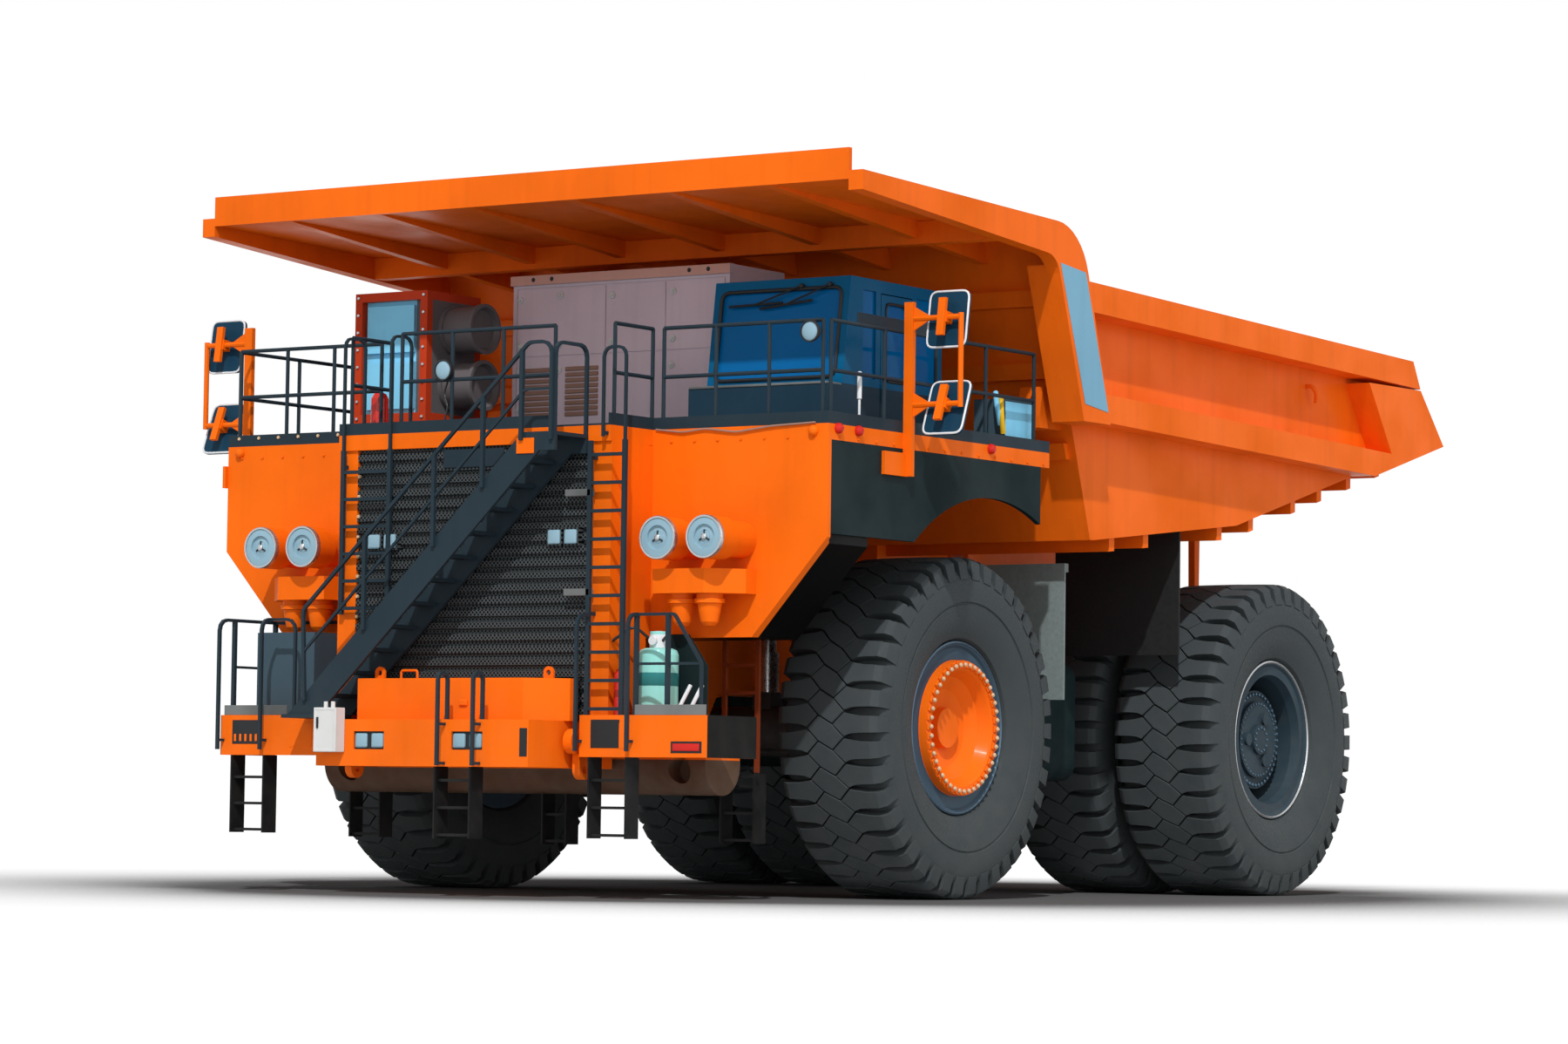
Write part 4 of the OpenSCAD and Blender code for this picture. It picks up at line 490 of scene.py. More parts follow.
# %% Dress the CAD pieces
FINISHES = {
    orange_paint: ["tow_eyes", "headlamps", "air_cleaners", "deck_beam", "mirror_brackets",
                   "hoist_barrels"],
    frame_paint: ["frame"],
    bumper_paint: ["front_bumper"],
    nose_paint: ["nose_and_fenders"],
    front_rim_paint: ["front_rim_left", "front_rim_right"],
    grille_sheet: ["grille"],
    ladder_paint: ["ladders"],
    body_paint: ["body_floor", "body_headboard", "body_sides", "canopy", "rock_ejectors"],
    slate_paint: ["deck", "stairs", "stair_rails", "deck_rails"],
    # The tanks take the dark grey as painted shade, for the shadow they sit in between the wheels.
    skirt_paint: ["skirts", "tanks"],
    box_paint: ["battery_box"],
    window_glass: ["cab_glass", "door_glass"],
    seat_black: ["cab_interior"],
    cabinet_paint: ["control_cabinet"],
    unit_paint: ["resistor_units"],
    rack_paint: ["resistor_rack"],
    teal_paint: ["lube_tank"],
    red_paint: ["extinguishers"],
    rim_paint: ["rear_rims_left", "rear_rims_right"],
    engine_paint: ["engine"],
    black_mesh: ["radiator"],
    cab_paint: ["cab_shell", "cab_door"],
    mirror_paint: ["mirrors"],
    flap_rubber: ["front_flaps"],
    dark_rubber: ["rear_flaps"],
    cast_steel: ["front_axle", "rear_axle", "knuckle_left", "knuckle_right", "tie_rod"],
    bright_steel: ["suspension_struts", "hoist_sleeves", "hoist_rods"],
    tyre_rubber: ["front_tyre_left", "front_tyre_right", "rear_tyres_left", "rear_tyres_right"],
}
for finish, names in FINISHES.items():
    for name in names:
        mesh = frame["nodes"][name].data
        mesh.materials.clear()
        mesh.materials.append(finish)
print("dressed", sum(len(names) for names in FINISHES.values()), "of", len(frame["nodes"]), "pieces")

# %% [markdown]
# New pieces are modelled as by hand: a primitive is added, its faces or edges are picked by their place,
# and edit-mode tools shape it. An operator acts on all that is selected, so each helper first clears the
# selection and picks its piece.

# %% Pick, edit and soften a piece


def idle():
    """Object mode with nothing selected."""
    if bpy.context.mode != "OBJECT":
        bpy.ops.object.mode_set(mode="OBJECT")
    bpy.ops.object.select_all(action="DESELECT")


def pick(piece):
    """Object mode with only this piece selected, and active."""
    idle()
    piece.select_set(True)
    bpy.context.view_layer.objects.active = piece


def edit(piece, kind="FACE", test=None):
    """Edit mode on a piece, with all of it selected or only what passes the test."""
    pick(piece)
    bpy.ops.object.mode_set(mode="EDIT")
    bpy.ops.mesh.select_mode(type=kind)
    bpy.ops.mesh.select_all(action="SELECT" if test is None else "DESELECT")
    if test is None:
        return
    bpy.ops.object.mode_set(mode="OBJECT")
    mesh = piece.data
    if kind == "FACE":
        for face in mesh.polygons:
            face.select = test(face.center, face.normal)
    else:
        for edge in mesh.edges:
            start, end = (mesh.vertices[i].co for i in edge.vertices)
            edge.select = test((start + end) / 2, end - start)
    bpy.ops.object.mode_set(mode="EDIT")


def apply_place(piece):
    """The object back at the origin, with its place in its mesh."""
    pick(piece)
    bpy.ops.object.transform_apply(location=True, rotation=True, scale=True)
    return piece


def soften(piece, width, segments=1, test=None):
    """Bevelled edges, all of them or those that pass the test."""
    edit(piece, "EDGE", test)
    bpy.ops.mesh.bevel(offset=width, segments=segments, affect="EDGES")
    idle()
    return piece


print("editing helpers ready in", bpy.context.mode, "mode")

# %% [markdown]
# Most pieces start as a box, a round bar or an outline. An outline is drawn by extruding one point from place
# to place. Spun round an axis it becomes a lamp or a rim, and drawn out straight it becomes a plate.

# %% Boxes, bars and outlines


def block(low, high, bevel=0.008, segments=1):
    """A box between two corners, with its edges bevelled."""
    idle()
    bpy.ops.mesh.primitive_cube_add(size=1, location=[(a + b) / 2 for a, b in zip(low, high)])
    piece = bpy.context.object
    piece.scale = [b - a for a, b in zip(low, high)]
    apply_place(piece)
    return soften(piece, bevel, segments)


def rod(start, end, radius, sides=24, bevel=0.005):
    """A round bar between two points, with its rims bevelled."""
    idle()
    start, end = Vector(start), Vector(end)
    along = end - start
    bpy.ops.mesh.primitive_cylinder_add(vertices=sides, radius=radius, depth=along.length,
                                        location=(start + end) / 2,
                                        rotation=along.to_track_quat("Z", "Y").to_euler())
    piece = apply_place(bpy.context.object)
    axis = along.normalized()
    return soften(piece, bevel, 1, lambda middle, run: abs(run.normalized().dot(axis)) < 0.5)


def chain(points):
    """Edges drawn from point to point, each extruded from the last, left open in edit mode."""
    idle()
    bpy.ops.mesh.primitive_plane_add(size=0.01)
    piece = bpy.context.object
    bpy.ops.object.mode_set(mode="EDIT")
    bpy.ops.mesh.select_mode(type="VERT")
    bpy.ops.mesh.merge(type="CENTER")
    bpy.ops.transform.translate(value=points[0])
    for last, new in zip(points, points[1:]):
        step = [b - a for a, b in zip(last, new)]
        bpy.ops.mesh.extrude_region_move(TRANSFORM_OT_translate={"value": step})
    return piece


def turned(points, middle, axis, steps):
    """An outline spun once round an axis, closed and facing outwards."""
    piece = chain(points)
    bpy.ops.mesh.select_all(action="SELECT")
    bpy.ops.mesh.spin(steps=steps, angle=math.tau, center=middle, axis=axis)
    bpy.ops.mesh.select_all(action="SELECT")
    bpy.ops.mesh.remove_doubles(threshold=0.0002)
    bpy.ops.mesh.normals_make_consistent(inside=False)
    idle()
    return piece


def ring_of(piece, count, middle, axis):
    """The piece repeated round an axis, in one mesh."""
    edit(piece)
    bpy.ops.mesh.spin(steps=count - 1, dupli=True, angle=math.tau * (count - 1) / count,
                      center=middle, axis=axis)
    idle()
    return piece


def slab(points, run):
    """A flat outline filled with one face and drawn out along run, with its normals outwards."""
    piece = chain([*points, points[0]])
    bpy.ops.mesh.select_all(action="SELECT")
    bpy.ops.mesh.remove_doubles(threshold=0.0001)
    bpy.ops.mesh.edge_face_add()
    bpy.ops.mesh.extrude_region_move(TRANSFORM_OT_translate={"value": run})
    bpy.ops.mesh.select_all(action="SELECT")
    bpy.ops.mesh.normals_make_consistent(inside=False)
    idle()
    return piece


print("starts:", block.__name__, rod.__name__, turned.__name__, slab.__name__)

# %% [markdown]
# Hoses, gaskets and handles are tubes. A curve with a round bevel follows the points, with its corners
# rounded by short arcs, and is then made a mesh. The curve keeps the tube's thickness even round every bend.

# %% Tubes
PIPE_SIDES, BEND_STEPS = 3, 4


def pipe(points, radius, bend=0.0):
    """A tube along points, its corners rounded by bend, made a mesh."""
    points = [Vector(point) for point in points]
    route = [points[0]]
    for before, corner, after in zip(points, points[1:], points[2:]):
        start = corner + (before - corner).normalized() * bend
        end = corner + (after - corner).normalized() * bend
        for step in range(BEND_STEPS + 1 if bend else 1):
            share = step / BEND_STEPS
            route.append(start.lerp(corner, share).lerp(corner.lerp(end, share), share))
    route.append(points[-1])
    line = bpy.data.curves.new("pipe", "CURVE")
    line.dimensions = "3D"
    line.bevel_depth = radius
    line.bevel_resolution = PIPE_SIDES
    line.use_fill_caps = True
    spline = line.splines.new("POLY")
    spline.points.add(len(route) - 1)
    for knot, point in zip(spline.points, route):
        knot.co = (*point, 1)
    piece = bpy.data.objects.new("pipe", line)
    bpy.context.scene.collection.objects.link(piece)
    pick(piece)
    bpy.ops.object.convert(target="MESH")
    return bpy.context.object


print("tubes:", BEND_STEPS, "steps in a bend")

# %% [markdown]
# What repeats is modelled once and copied, each copy with its own mesh. A finished piece gets its name, its
# finish and the body that it rides on.

# %% Copies and finished pieces
SMOOTH_BELOW = math.radians(35)


def copy_of(piece, move=(0, 0, 0), turn=0.0):
    """A copy with its own mesh, turned about the upright axis and then moved."""
    pick(piece)
    bpy.ops.object.duplicate(linked=False)
    copied = bpy.context.object
    copied.data.transform(Matrix.Translation(move) @ Matrix.Rotation(turn, 4, "Z"))
    return copied


def mirrored(piece):
    """A copy on the truck's other side, with its faces turned outwards again."""
    copied = copy_of(piece)
    copied.data.transform(Matrix.Scale(-1, 4, (1, 0, 0)))
    copied.data.flip_normals()
    return copied


def joined(pieces):
    """Several pieces made one."""
    idle()
    for piece in pieces:
        piece.select_set(True)
    bpy.context.view_layer.objects.active = pieces[0]
    if len(pieces) > 1:
        bpy.ops.object.join()
    return pieces[0]


def done(piece, name, finish, body="chassis"):
    """The finished piece: named, coloured, smoothed and riding on its body."""
    pick(piece)
    piece.name = name
    piece.data.name = name
    piece.data.materials.clear()
    piece.data.materials.append(finish)
    bpy.ops.object.shade_smooth_by_angle(angle=SMOOTH_BELOW)
    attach(piece, body)
    print(name, len(piece.data.polygons), "faces on", body)


# %% [markdown]
# The tyres are the truck's largest pieces, so their tread is real geometry. Wide shoulder lugs with pointed
# inner ends stand round each side, and a row of six-sided blocks fills the middle, with thin cuts between.
# Their sizes come from the CAD tyre, and lengths along the tread are shares of one pitch.

# %% Sizes of the tread
PITCHES = 42
tyre_low, tyre_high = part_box("front_tyre_left")
TYRE_R = (tyre_high.z - tyre_low.z) / 2
HALF_W = (tyre_high.x - tyre_low.x) / 2
PITCH = math.tau * TYRE_R / PITCHES
CUT = 0.007
LUG_DEPTH = 0.12
CHAMFER = 0.007
CROWN = 0.012
LEFT_SHIFT = -0.354
HALF_PITCH = 0.5
LUG = [(0.093, 0.0), (0.24, -0.48), (0.32, -0.42), (0.42, -0.365), (0.57, -0.345),
       (0.57, 0.345), (0.42, 0.355), (0.32, 0.38), (0.24, 0.48)]
SHOULDER_STEPS = [(0.078, 0, -0.05), (0.027, 0, -0.19)]
HEXAGON = [(-0.093, -1.354), (0.093, -1.0), (0.24, -0.5), (0.093, 0.0), (-0.093, -0.354), (-0.24, -0.854)]
print("tread:", PITCHES, "pitches of", round(PITCH, 3), "m on a radius of", round(TYRE_R, 3), "m")

# %% [markdown]
# One pitch of the tread is drawn flat, thickened and wrapped round the tyre. Drawing it flat keeps its
# outline simple, and an inset round each face leaves the thin cuts between the blocks.

# %% One pitch of the tread


def tread_face(points):
    """One face of the tread, drawn flat with the cut round it left open."""
    idle()
    bpy.ops.mesh.primitive_circle_add(vertices=len(points), fill_type="NGON")
    piece = bpy.context.object
    for vertex, (across, along) in zip(piece.data.vertices, points):
        vertex.co = (across, along * PITCH, 0)
    edit(piece)
    bpy.ops.mesh.inset(thickness=CUT, depth=0)
    bpy.ops.mesh.select_all(action="INVERT")
    bpy.ops.mesh.delete(type="FACE")
    idle()
    return piece


def thicken(piece, depth):
    """The sheet made solid and its edges chamfered by modifiers."""
    wall = piece.modifiers.new("wall", "SOLIDIFY")
    wall.thickness = depth
    wall.offset = -1
    wall.use_even_offset = True
    edge = piece.modifiers.new("edge", "BEVEL")
    edge.width = CHAMFER
    edge.segments = 1
    bpy.context.view_layer.objects.active = piece
    bpy.ops.object.modifier_apply(modifier="wall")
    bpy.ops.object.modifier_apply(modifier="edge")
    return piece


def wrap(piece, shift):
    """The flat pitch bent round the tyre and lowered a little toward its shoulders."""
    for vertex in piece.data.vertices:
        across, along, height = vertex.co
        angle = (along + shift * PITCH) / TYRE_R
        reach = TYRE_R - CROWN * (across / HALF_W) ** 2 + height
        vertex.co = (across, -reach * math.sin(angle), reach * math.cos(angle))
    return piece


right_lug = tread_face(LUG)
edge_x = max(vertex.co.x for vertex in right_lug.data.vertices)
edit(right_lug, "EDGE", lambda middle, run: middle.x > edge_x - 0.002)
for step in SHOULDER_STEPS:
    bpy.ops.mesh.extrude_region_move(TRANSFORM_OT_translate={"value": step})
idle()
thicken(right_lug, LUG_DEPTH)
left_lug = mirrored(right_lug)
hexagon = thicken(tread_face(HEXAGON), LUG_DEPTH)
pitch = joined([wrap(right_lug, HALF_PITCH),
                wrap(left_lug, HALF_PITCH + LEFT_SHIFT),
                wrap(hexagon, HALF_PITCH)])
print("one pitch:", len(pitch.data.polygons), "faces")

# %% [markdown]
# The carcass under the lugs is an outline spun round the axle: bead, bulging sidewall with its moulded
# line, shoulder and groove floor. Joined with 42 pitches it is one tyre, which is copied to all six places.

# %% Six tyres
SIDEWALL = [(0.452, 0.80), (0.452, 0.966), (0.5, 0.978), (0.545, 1.0), (0.588, 1.08), (0.624, 1.17),
            (0.650, 1.27), (0.664, 1.365), (0.652, 1.374), (0.653, 1.388), (0.669, 1.398), (0.6735, 1.46),
            (0.673, 1.54), (0.664, 1.62), (0.648, 1.68), (0.61, 1.735), (0.55, 1.768), (0.45, 1.782),
            (0.25, 1.787)]
AXLE = (1, 0, 0)
ORIGIN = (0, 0, 0)
outline = [(x, 0, r) for x, r in SIDEWALL] + [(-x, 0, r) for x, r in reversed(SIDEWALL)]
carcass = turned([*outline, outline[0]], ORIGIN, AXLE, steps=126)
tread = ring_of(pitch, PITCHES, ORIGIN, AXLE)
tyre = joined([carcass, tread])
print("tyre:", len(tyre.data.polygons), "faces")

TWIN_GAP = 0.2
TWIN_PITCH = 2 * HALF_W + TWIN_GAP
SIDES = (("left", 0.0), ("right", math.pi))
for side, turn in SIDES:
    hub = Vector(joint_places["front_roll_" + side])
    front_tyre = copy_of(tyre, hub, turn)
    done(front_tyre, "front_tread_" + side, tyre_rubber, "front_wheel_" + side)
    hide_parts("front_tyre_" + side)
    hub = Vector(joint_places["rear_roll_" + side])
    apart = Vector((TWIN_PITCH / 2, 0, 0))
    pair = joined([copy_of(tyre, hub + apart, turn), copy_of(tyre, hub - apart, turn)])
    done(pair, "rear_tread_" + side, tyre_rubber, "rear_wheels_" + side)
    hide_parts("rear_tyres_" + side)
bpy.data.objects.remove(tyre)

# %% [markdown]
# The front wheels carry a ring of orange clamps, each held by one bright nut, round the mouth of the hub.
# One clamp is a bevelled block and one nut a short bevelled bar. Spinning them round the axle makes the
# rings.

# %% Clamps and nuts of the front hubs
CLAMPS = 44
RING_FACE = 0.577
CLAMP_TOP = RING_FACE + 0.022
NUT_RADIUS, NUT_HEIGHT, NUT_CIRCLE = 0.026, 0.034, 0.702
clamp = block((RING_FACE - 0.004, -0.037, 0.664), (CLAMP_TOP, 0.037, 0.744), 0.007)
nut = rod((CLAMP_TOP - 0.002, 0, NUT_CIRCLE), (CLAMP_TOP + NUT_HEIGHT, 0, NUT_CIRCLE), NUT_RADIUS, 10, 0.011)
clamps = ring_of(clamp, CLAMPS, ORIGIN, AXLE)
nuts = ring_of(nut, CLAMPS, ORIGIN, AXLE)
for side, turn in SIDES:
    hub = Vector(joint_places["front_roll_" + side])
    wheel = "front_wheel_" + side
    done(copy_of(clamps, hub, turn), "hub_clamps_" + side, orange_paint, wheel)
    done(copy_of(nuts, hub, turn), "hub_nuts_" + side, nut_metal, wheel)
for piece in (clamps, nuts):
    bpy.data.objects.remove(piece)

# %% [markdown]
# Each wheel has a rolled steel lip at its edge. The rear hubs show three circles of bolts: round the drum,
# round the cover and round the cap in the middle. A lip is a small outline spun round the axle.

# %% Rim lips and rear hub bolts
LIP = [(0.49, 0.925), (0.512, 0.932), (0.522, 0.945), (0.514, 0.962), (0.49, 0.964)]
BOLT_RINGS = [(44, 0.555, 0.272, 0.03, 0.02),
              (40, 0.438, 0.318, 0.018, 0.013),
              (12, 0.145, 0.358, 0.018, 0.016)]
lip_line = [(x, 0, r) for x, r in LIP]
lip = turned([*lip_line, lip_line[0]], ORIGIN, AXLE, steps=96)
rings = []
for count, radius, face, height, size in BOLT_RINGS:
    bolt = rod((face - 0.004, 0, radius), (face + height, 0, radius), size, 6, 0.004)
    rings.append(ring_of(bolt, count, ORIGIN, AXLE))
hub_bolts = joined(rings)
for side, turn in SIDES:
    outer = Vector((math.cos(turn) * TWIN_PITCH / 2, 0, 0))
    front = Vector(joint_places["front_roll_" + side])
    rear = Vector(joint_places["rear_roll_" + side]) + outer
    done(copy_of(lip, front, turn), "front_lip_" + side, blue_steel, "front_wheel_" + side)
    done(copy_of(lip, rear, turn), "rear_lip_" + side, bright_steel, "rear_wheels_" + side)
    done(copy_of(hub_bolts, rear, turn), "hub_bolts_" + side, blue_steel, "rear_wheels_" + side)
for piece in (lip, hub_bolts):
    bpy.data.objects.remove(piece)

# %% [markdown]
# Places on the truck are measured from the front axle, as on a drawing. The four headlamps are drums with a
# bright ring, a pale stepped lens and a bulb on three dark legs. Ring, lens and bulb are outlines spun round
# the drum's axis, which gives true rounds from a few points.

# %% Headlamps


def at(x, y, z):
    """A place on the truck, with y measured from the front axle."""
    return (x, y + FRONT_AXLE, z)


def lamp_round(x, y, z, outline):
    """An outline of (radius, forward) spun round a lamp that looks forward from this place."""
    points = [at(x + radius, y - forward, z) for radius, forward in outline]
    return turned(points, at(x, y, z), (0, 1, 0), steps=48)


HEADLAMP_X = (2.42, 3.02)
HEADLAMP_FACE, HEADLAMP_Z = -4.005, 3.82
BEZEL = [(0.232, -0.03), (0.234, 0.012), (0.226, 0.026), (0.208, 0.024), (0.204, 0.004)]
LENS = [(0.206, 0.0), (0.205, 0.012), (0.17, 0.018), (0.132, 0.02), (0.126, -0.008), (0.11, -0.01),
        (0.07, 0.004), (0.064, 0.0), (0.058, 0.006), (0.03, 0.01), (0.0, 0.011)]
BULB = [(0.034, 0.004), (0.032, 0.026), (0.022, 0.034), (0.0, 0.036)]
LEG_FROM, LEG_TO, LEG_RADIUS = 0.03, 0.075, 0.009
lamp_places = [x * way for way in (1, -1) for x in HEADLAMP_X]
for name, outline, finish in (("headlamp_rings", BEZEL, bright_steel),
                              ("headlamp_lenses", LENS, lamp_lens),
                              ("headlamp_bulbs", BULB, bright_steel)):
    rounds = [lamp_round(x, HEADLAMP_FACE, HEADLAMP_Z, outline) for x in lamp_places]
    done(joined(rounds), name, finish)
legs = []
for x in lamp_places:
    for turn in (90, 210, 330):
        across, up = math.cos(math.radians(turn)), math.sin(math.radians(turn))
        start = at(x + LEG_FROM * across, HEADLAMP_FACE - 0.016, HEADLAMP_Z + LEG_FROM * up)
        end = at(x + LEG_TO * across, HEADLAMP_FACE - 0.008, HEADLAMP_Z + LEG_TO * up)
        legs.append(rod(start, end, LEG_RADIUS, 8, 0.002))
done(joined(legs), "headlamp_bulb_legs", black_plastic)

# %% [markdown]
# Square lamps sit in pairs in the grille and in the bumper. A lens is a block with well-rounded corners, and
# in the bumper each pair has a dark backing plate.

# %% Square lamps
GRILLE_LAMPS = [(-1.41, -4.115, 3.75), (1.045, -4.115, 3.75)]
BUMPER_LAMPS = [(-0.915, -4.884, 1.558), (0.41, -4.884, 1.558)]
LENS_PITCH = 0.22


def plate(low, high, bevel=0.004, segments=1):
    """A bevelled box between two corners measured from the front axle."""
    return block(at(*low), at(*high), bevel, segments)


square_lenses = []
for x, y, z in GRILLE_LAMPS + BUMPER_LAMPS:
    for left in (x, x + LENS_PITCH):
        low, high = (left + 0.018, y - 0.022, z + 0.02), (left + 0.177, y + 0.004, z + 0.175)
        square_lenses.append(plate(low, high, 0.02, 3))
done(joined(square_lenses), "square_lenses", lamp_lens)
backs = []
for x, y, z in BUMPER_LAMPS:
    low, high = (x + 0.002, y - 0.001, z + 0.002), (x + 0.413, y + 0.004, z + 0.193)
    backs.append(plate(low, high, 0.001))
done(joined(backs), "lamp_backs", black_plastic)

# %% [markdown]
# The sheet-metal cabinet on the deck has round latches at its door edges, brown louvres and a brown roof
# strip with four lifting holes. A latch is a disc with a raised middle, made once and copied to each place.

# %% Cabinet latches, louvres and roof strip
LATCHES = [(-1.553, 6.80), (-0.981, 6.835), (-0.25, 6.80), (0.6, 6.805), (-1.55, 6.268), (-0.995, 6.265),
           (-1.55, 5.976), (-0.996, 5.971), (-1.554, 5.534), (-0.246, 6.271), (0.596, 6.27), (0.588, 5.971)]
LOUVRES = (-1.5, -0.89)
SLATS, SLAT_FOOT, SLAT_PITCH, SLAT_TALL = 9, 5.434, 0.065, 0.052
ROOF_HOLES = (-1.353, -1.09, 0.837, 1.098)
latch = joined([rod(at(0, -1.198, 0), at(0, -1.218, 0), 0.043, 20, 0.008),
                rod(at(0, -1.21, 0), at(0, -1.232, 0), 0.02, 12, 0.005)])
latches = joined([copy_of(latch, (x, 0, z)) for x, z in LATCHES])
bpy.data.objects.remove(latch)
done(latches, "cabinet_latches", pale_paint)
slats = []
for x in LOUVRES:
    for row in range(SLATS):
        z = SLAT_FOOT + row * SLAT_PITCH
        slats.append(plate((x - 0.01, -1.216, z), (x + 0.46, -1.196, z + SLAT_TALL), 0.009))
done(joined(slats), "cabinet_louvres", brown_paint)
strip = plate((-1.683, -1.236, 6.968), (1.393, -1.226, 7.08), 0.003)
done(strip, "cabinet_roof_strip", strip_paint)
holes = [rod(at(x, -1.23, 7.028), at(x, -1.2385, 7.028), 0.026, 16, 0.001) for x in ROOF_HOLES]
done(joined(holes), "cabinet_lifting_holes", black_plastic)

# %% [markdown]
# The cab's glass sits in black rubber. The rubber follows the leaning windscreen, and two wipers hang from
# its top edge. A closed tube with rounded corners is the simplest gasket. A worn metal edge tops the cab's
# base.

# %% Cab trim
SCREEN_FOOT = (-1.95, 5.64)
SCREEN_LEAN = 0.15 / 1.14
SCREEN = ((1.7, 5.67), (3.28, 5.67), (3.28, 6.66), (1.7, 6.66))
DOOR_GASKET_IN = 0.062
WIPERS = [((2.77, 6.69), (1.82, 6.5), (2.53, 6.515)), ((3.14, 6.69), (2.23, 6.46), (2.92, 6.525))]


def on_screen(x, z, proud=0.0):
    """A place on the leaning windscreen, proud of the glass where wanted."""
    return at(x, SCREEN_FOOT[0] + (z - SCREEN_FOOT[1]) * SCREEN_LEAN - proud, z)


def frame_of(corners, radius, bend):
    """A closed tube round four corners, started in the middle of its first side."""
    corners = [Vector(corner) for corner in corners]
    start = (corners[0] + corners[1]) / 2
    return pipe([start, *corners[1:], corners[0], start], radius, bend)


screen = [on_screen(x, z, 0.004) for x, z in SCREEN]
done(frame_of(screen, 0.022, 0.1), "windscreen_gasket", black_plastic)
door_low, door_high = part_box("door_glass")
side_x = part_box("cab_door")[0].x + DOOR_GASKET_IN
pane = [(side_x, y, z) for y, z in ((door_low.y, door_low.z), (door_high.y, door_low.z),
                                    (door_high.y, door_high.z), (door_low.y, door_high.z))]
done(frame_of(pane, 0.016, 0.09), "door_gasket", black_plastic, "cab_door")
wiper_pieces = []
for pivot, left, right in WIPERS:
    middle = ((left[0] + right[0]) / 2, (left[1] + right[1]) / 2)
    wiper_pieces.append(rod(on_screen(*pivot), on_screen(*pivot, 0.06), 0.026, 16))
    wiper_pieces.append(rod(on_screen(*pivot, 0.05), on_screen(*middle, 0.035), 0.011, 8, 0.002))
    wiper_pieces.append(rod(on_screen(*left, 0.025), on_screen(*right, 0.025), 0.014, 8, 0.003))
done(joined(wiper_pieces), "wipers", black_plastic)
sill = plate((1.565, -2.262, 5.562), (3.375, -1.945, 5.592), 0.012, 2)
done(sill, "cab_base_edge", worn_paint)

# %% [markdown]
# The mirrors' backs have a white edging. The heads lean on their arms, so the edging is drawn flat round
# one head and then leaned and moved to each place.

# %% Mirror edging
HEAD_X, HEAD_HALF, HEAD_TALL, HEAD_OFF = 4.59, 0.243, 0.308, 0.088
MIRROR_ARMS = [(5.33, 21), (6.262, 8)]
for side, y in (("left", -1.83), ("right", -2.92)):
    loops = []
    for z, lean in MIRROR_ARMS:
        flat = [(-HEAD_HALF, HEAD_OFF, -HEAD_TALL), (HEAD_HALF, HEAD_OFF, -HEAD_TALL),
                (HEAD_HALF, HEAD_OFF, HEAD_TALL), (-HEAD_HALF, HEAD_OFF, HEAD_TALL)]
        loop = frame_of(flat, 0.012, 0.09)
        leaned = Matrix.Rotation(math.radians(-lean), 4, "X")
        loop.data.transform(Matrix.Translation(at(HEAD_X, y, z)) @ leaned)
        loops.append(loop)
    edging = joined(loops)
    if side == "right":
        flipped = mirrored(edging)
        bpy.data.objects.remove(edging)
        edging = flipped
    done(edging, "mirror_edging_" + side, white_paint)

# %% [markdown]
# Small plates on the bumper, the steps and the nose: grey kick plates, the dark frame of a red reflector,
# cover plates, dark plates in the steps that paint the shade in a hole and behind a grate, a slot at the
# bumper's end, the bare name plate on the grille and the arms that hold the nose ladder. Each is a bevelled
# block, so one loop over a table of their corners makes them all.

# %% Plates on the bumper, steps and nose
PLATES = {
    "step_kick_plates": (worn_paint, 0.004, [((2.36, -4.302, 1.938), (3.27, -4.288, 2.05)),
                                             ((-3.26, -4.302, 1.938), (-2.36, -4.288, 2.05))]),
    "reflector_frame": (black_plastic, 0.002, [((2.835, -4.31, 1.543), (3.226, -4.302, 1.666))]),
    "step_hole_covers": (orange_paint, 0.003, [((-2.31, -4.311, 1.588), (-1.99, -4.303, 1.858)),
                                               ((2.166, -4.311, 1.588), (2.31, -4.303, 1.858))]),
    # The shade in the step's hole and behind its grate is painted as near-black plates.
    "step_hole_shade": (black_plastic, 0.004, [((1.8, -4.313, 1.593), (2.172, -4.303, 1.892))]),
    "step_grate_back": (black_plastic, 0.004, [((-3.13, -4.312, 1.62), (-2.76, -4.304, 1.885))]),
    "bumper_slot": (black_plastic, 0.004, [((1.315, -4.915, 1.49), (1.415, -4.906, 1.79))]),
    "grille_plate": (slate_paint, 0.006, [((-0.4, -4.086, 4.63), (0.42, -4.066, 4.83))]),
    "ladder_arms": (worn_paint, 0.006, [((1.33, -4.2, 3.21), (1.67, -4.12, 3.285)),
                                        ((1.33, -4.2, 4.27), (1.67, -4.12, 4.345))]),
}
for name, (finish, bevel, corners) in PLATES.items():
    done(joined([plate(low, high, bevel) for low, high in corners]), name, finish)

# %% [markdown]
# The fittings that need more shape: a pale junction box with a sunk lid and cable glands, the red reflector,
# the bars of the grate, a handle and a grip on the bumper, and seam strips between the nose and the fenders.

# %% Fittings on the bumper, steps and nose
LID_RIM, LID_GROOVE = 0.022, 0.004
GLANDS = (-1.24, -1.14)
GRATE_BARS, GRATE_LEFT, GRATE_PITCH, GRATE_BAR = 5, -3.1, 0.075, 0.03
HANDLE = [(-0.68, -4.4, 2.325), (-0.68, -4.4, 2.42), (-0.46, -4.4, 2.42), (-0.46, -4.4, 2.325)]


def tube(places, radius, bend=0.0):
    """A tube along places measured from the front axle."""
    return pipe([at(*place) for place in places], radius, bend)


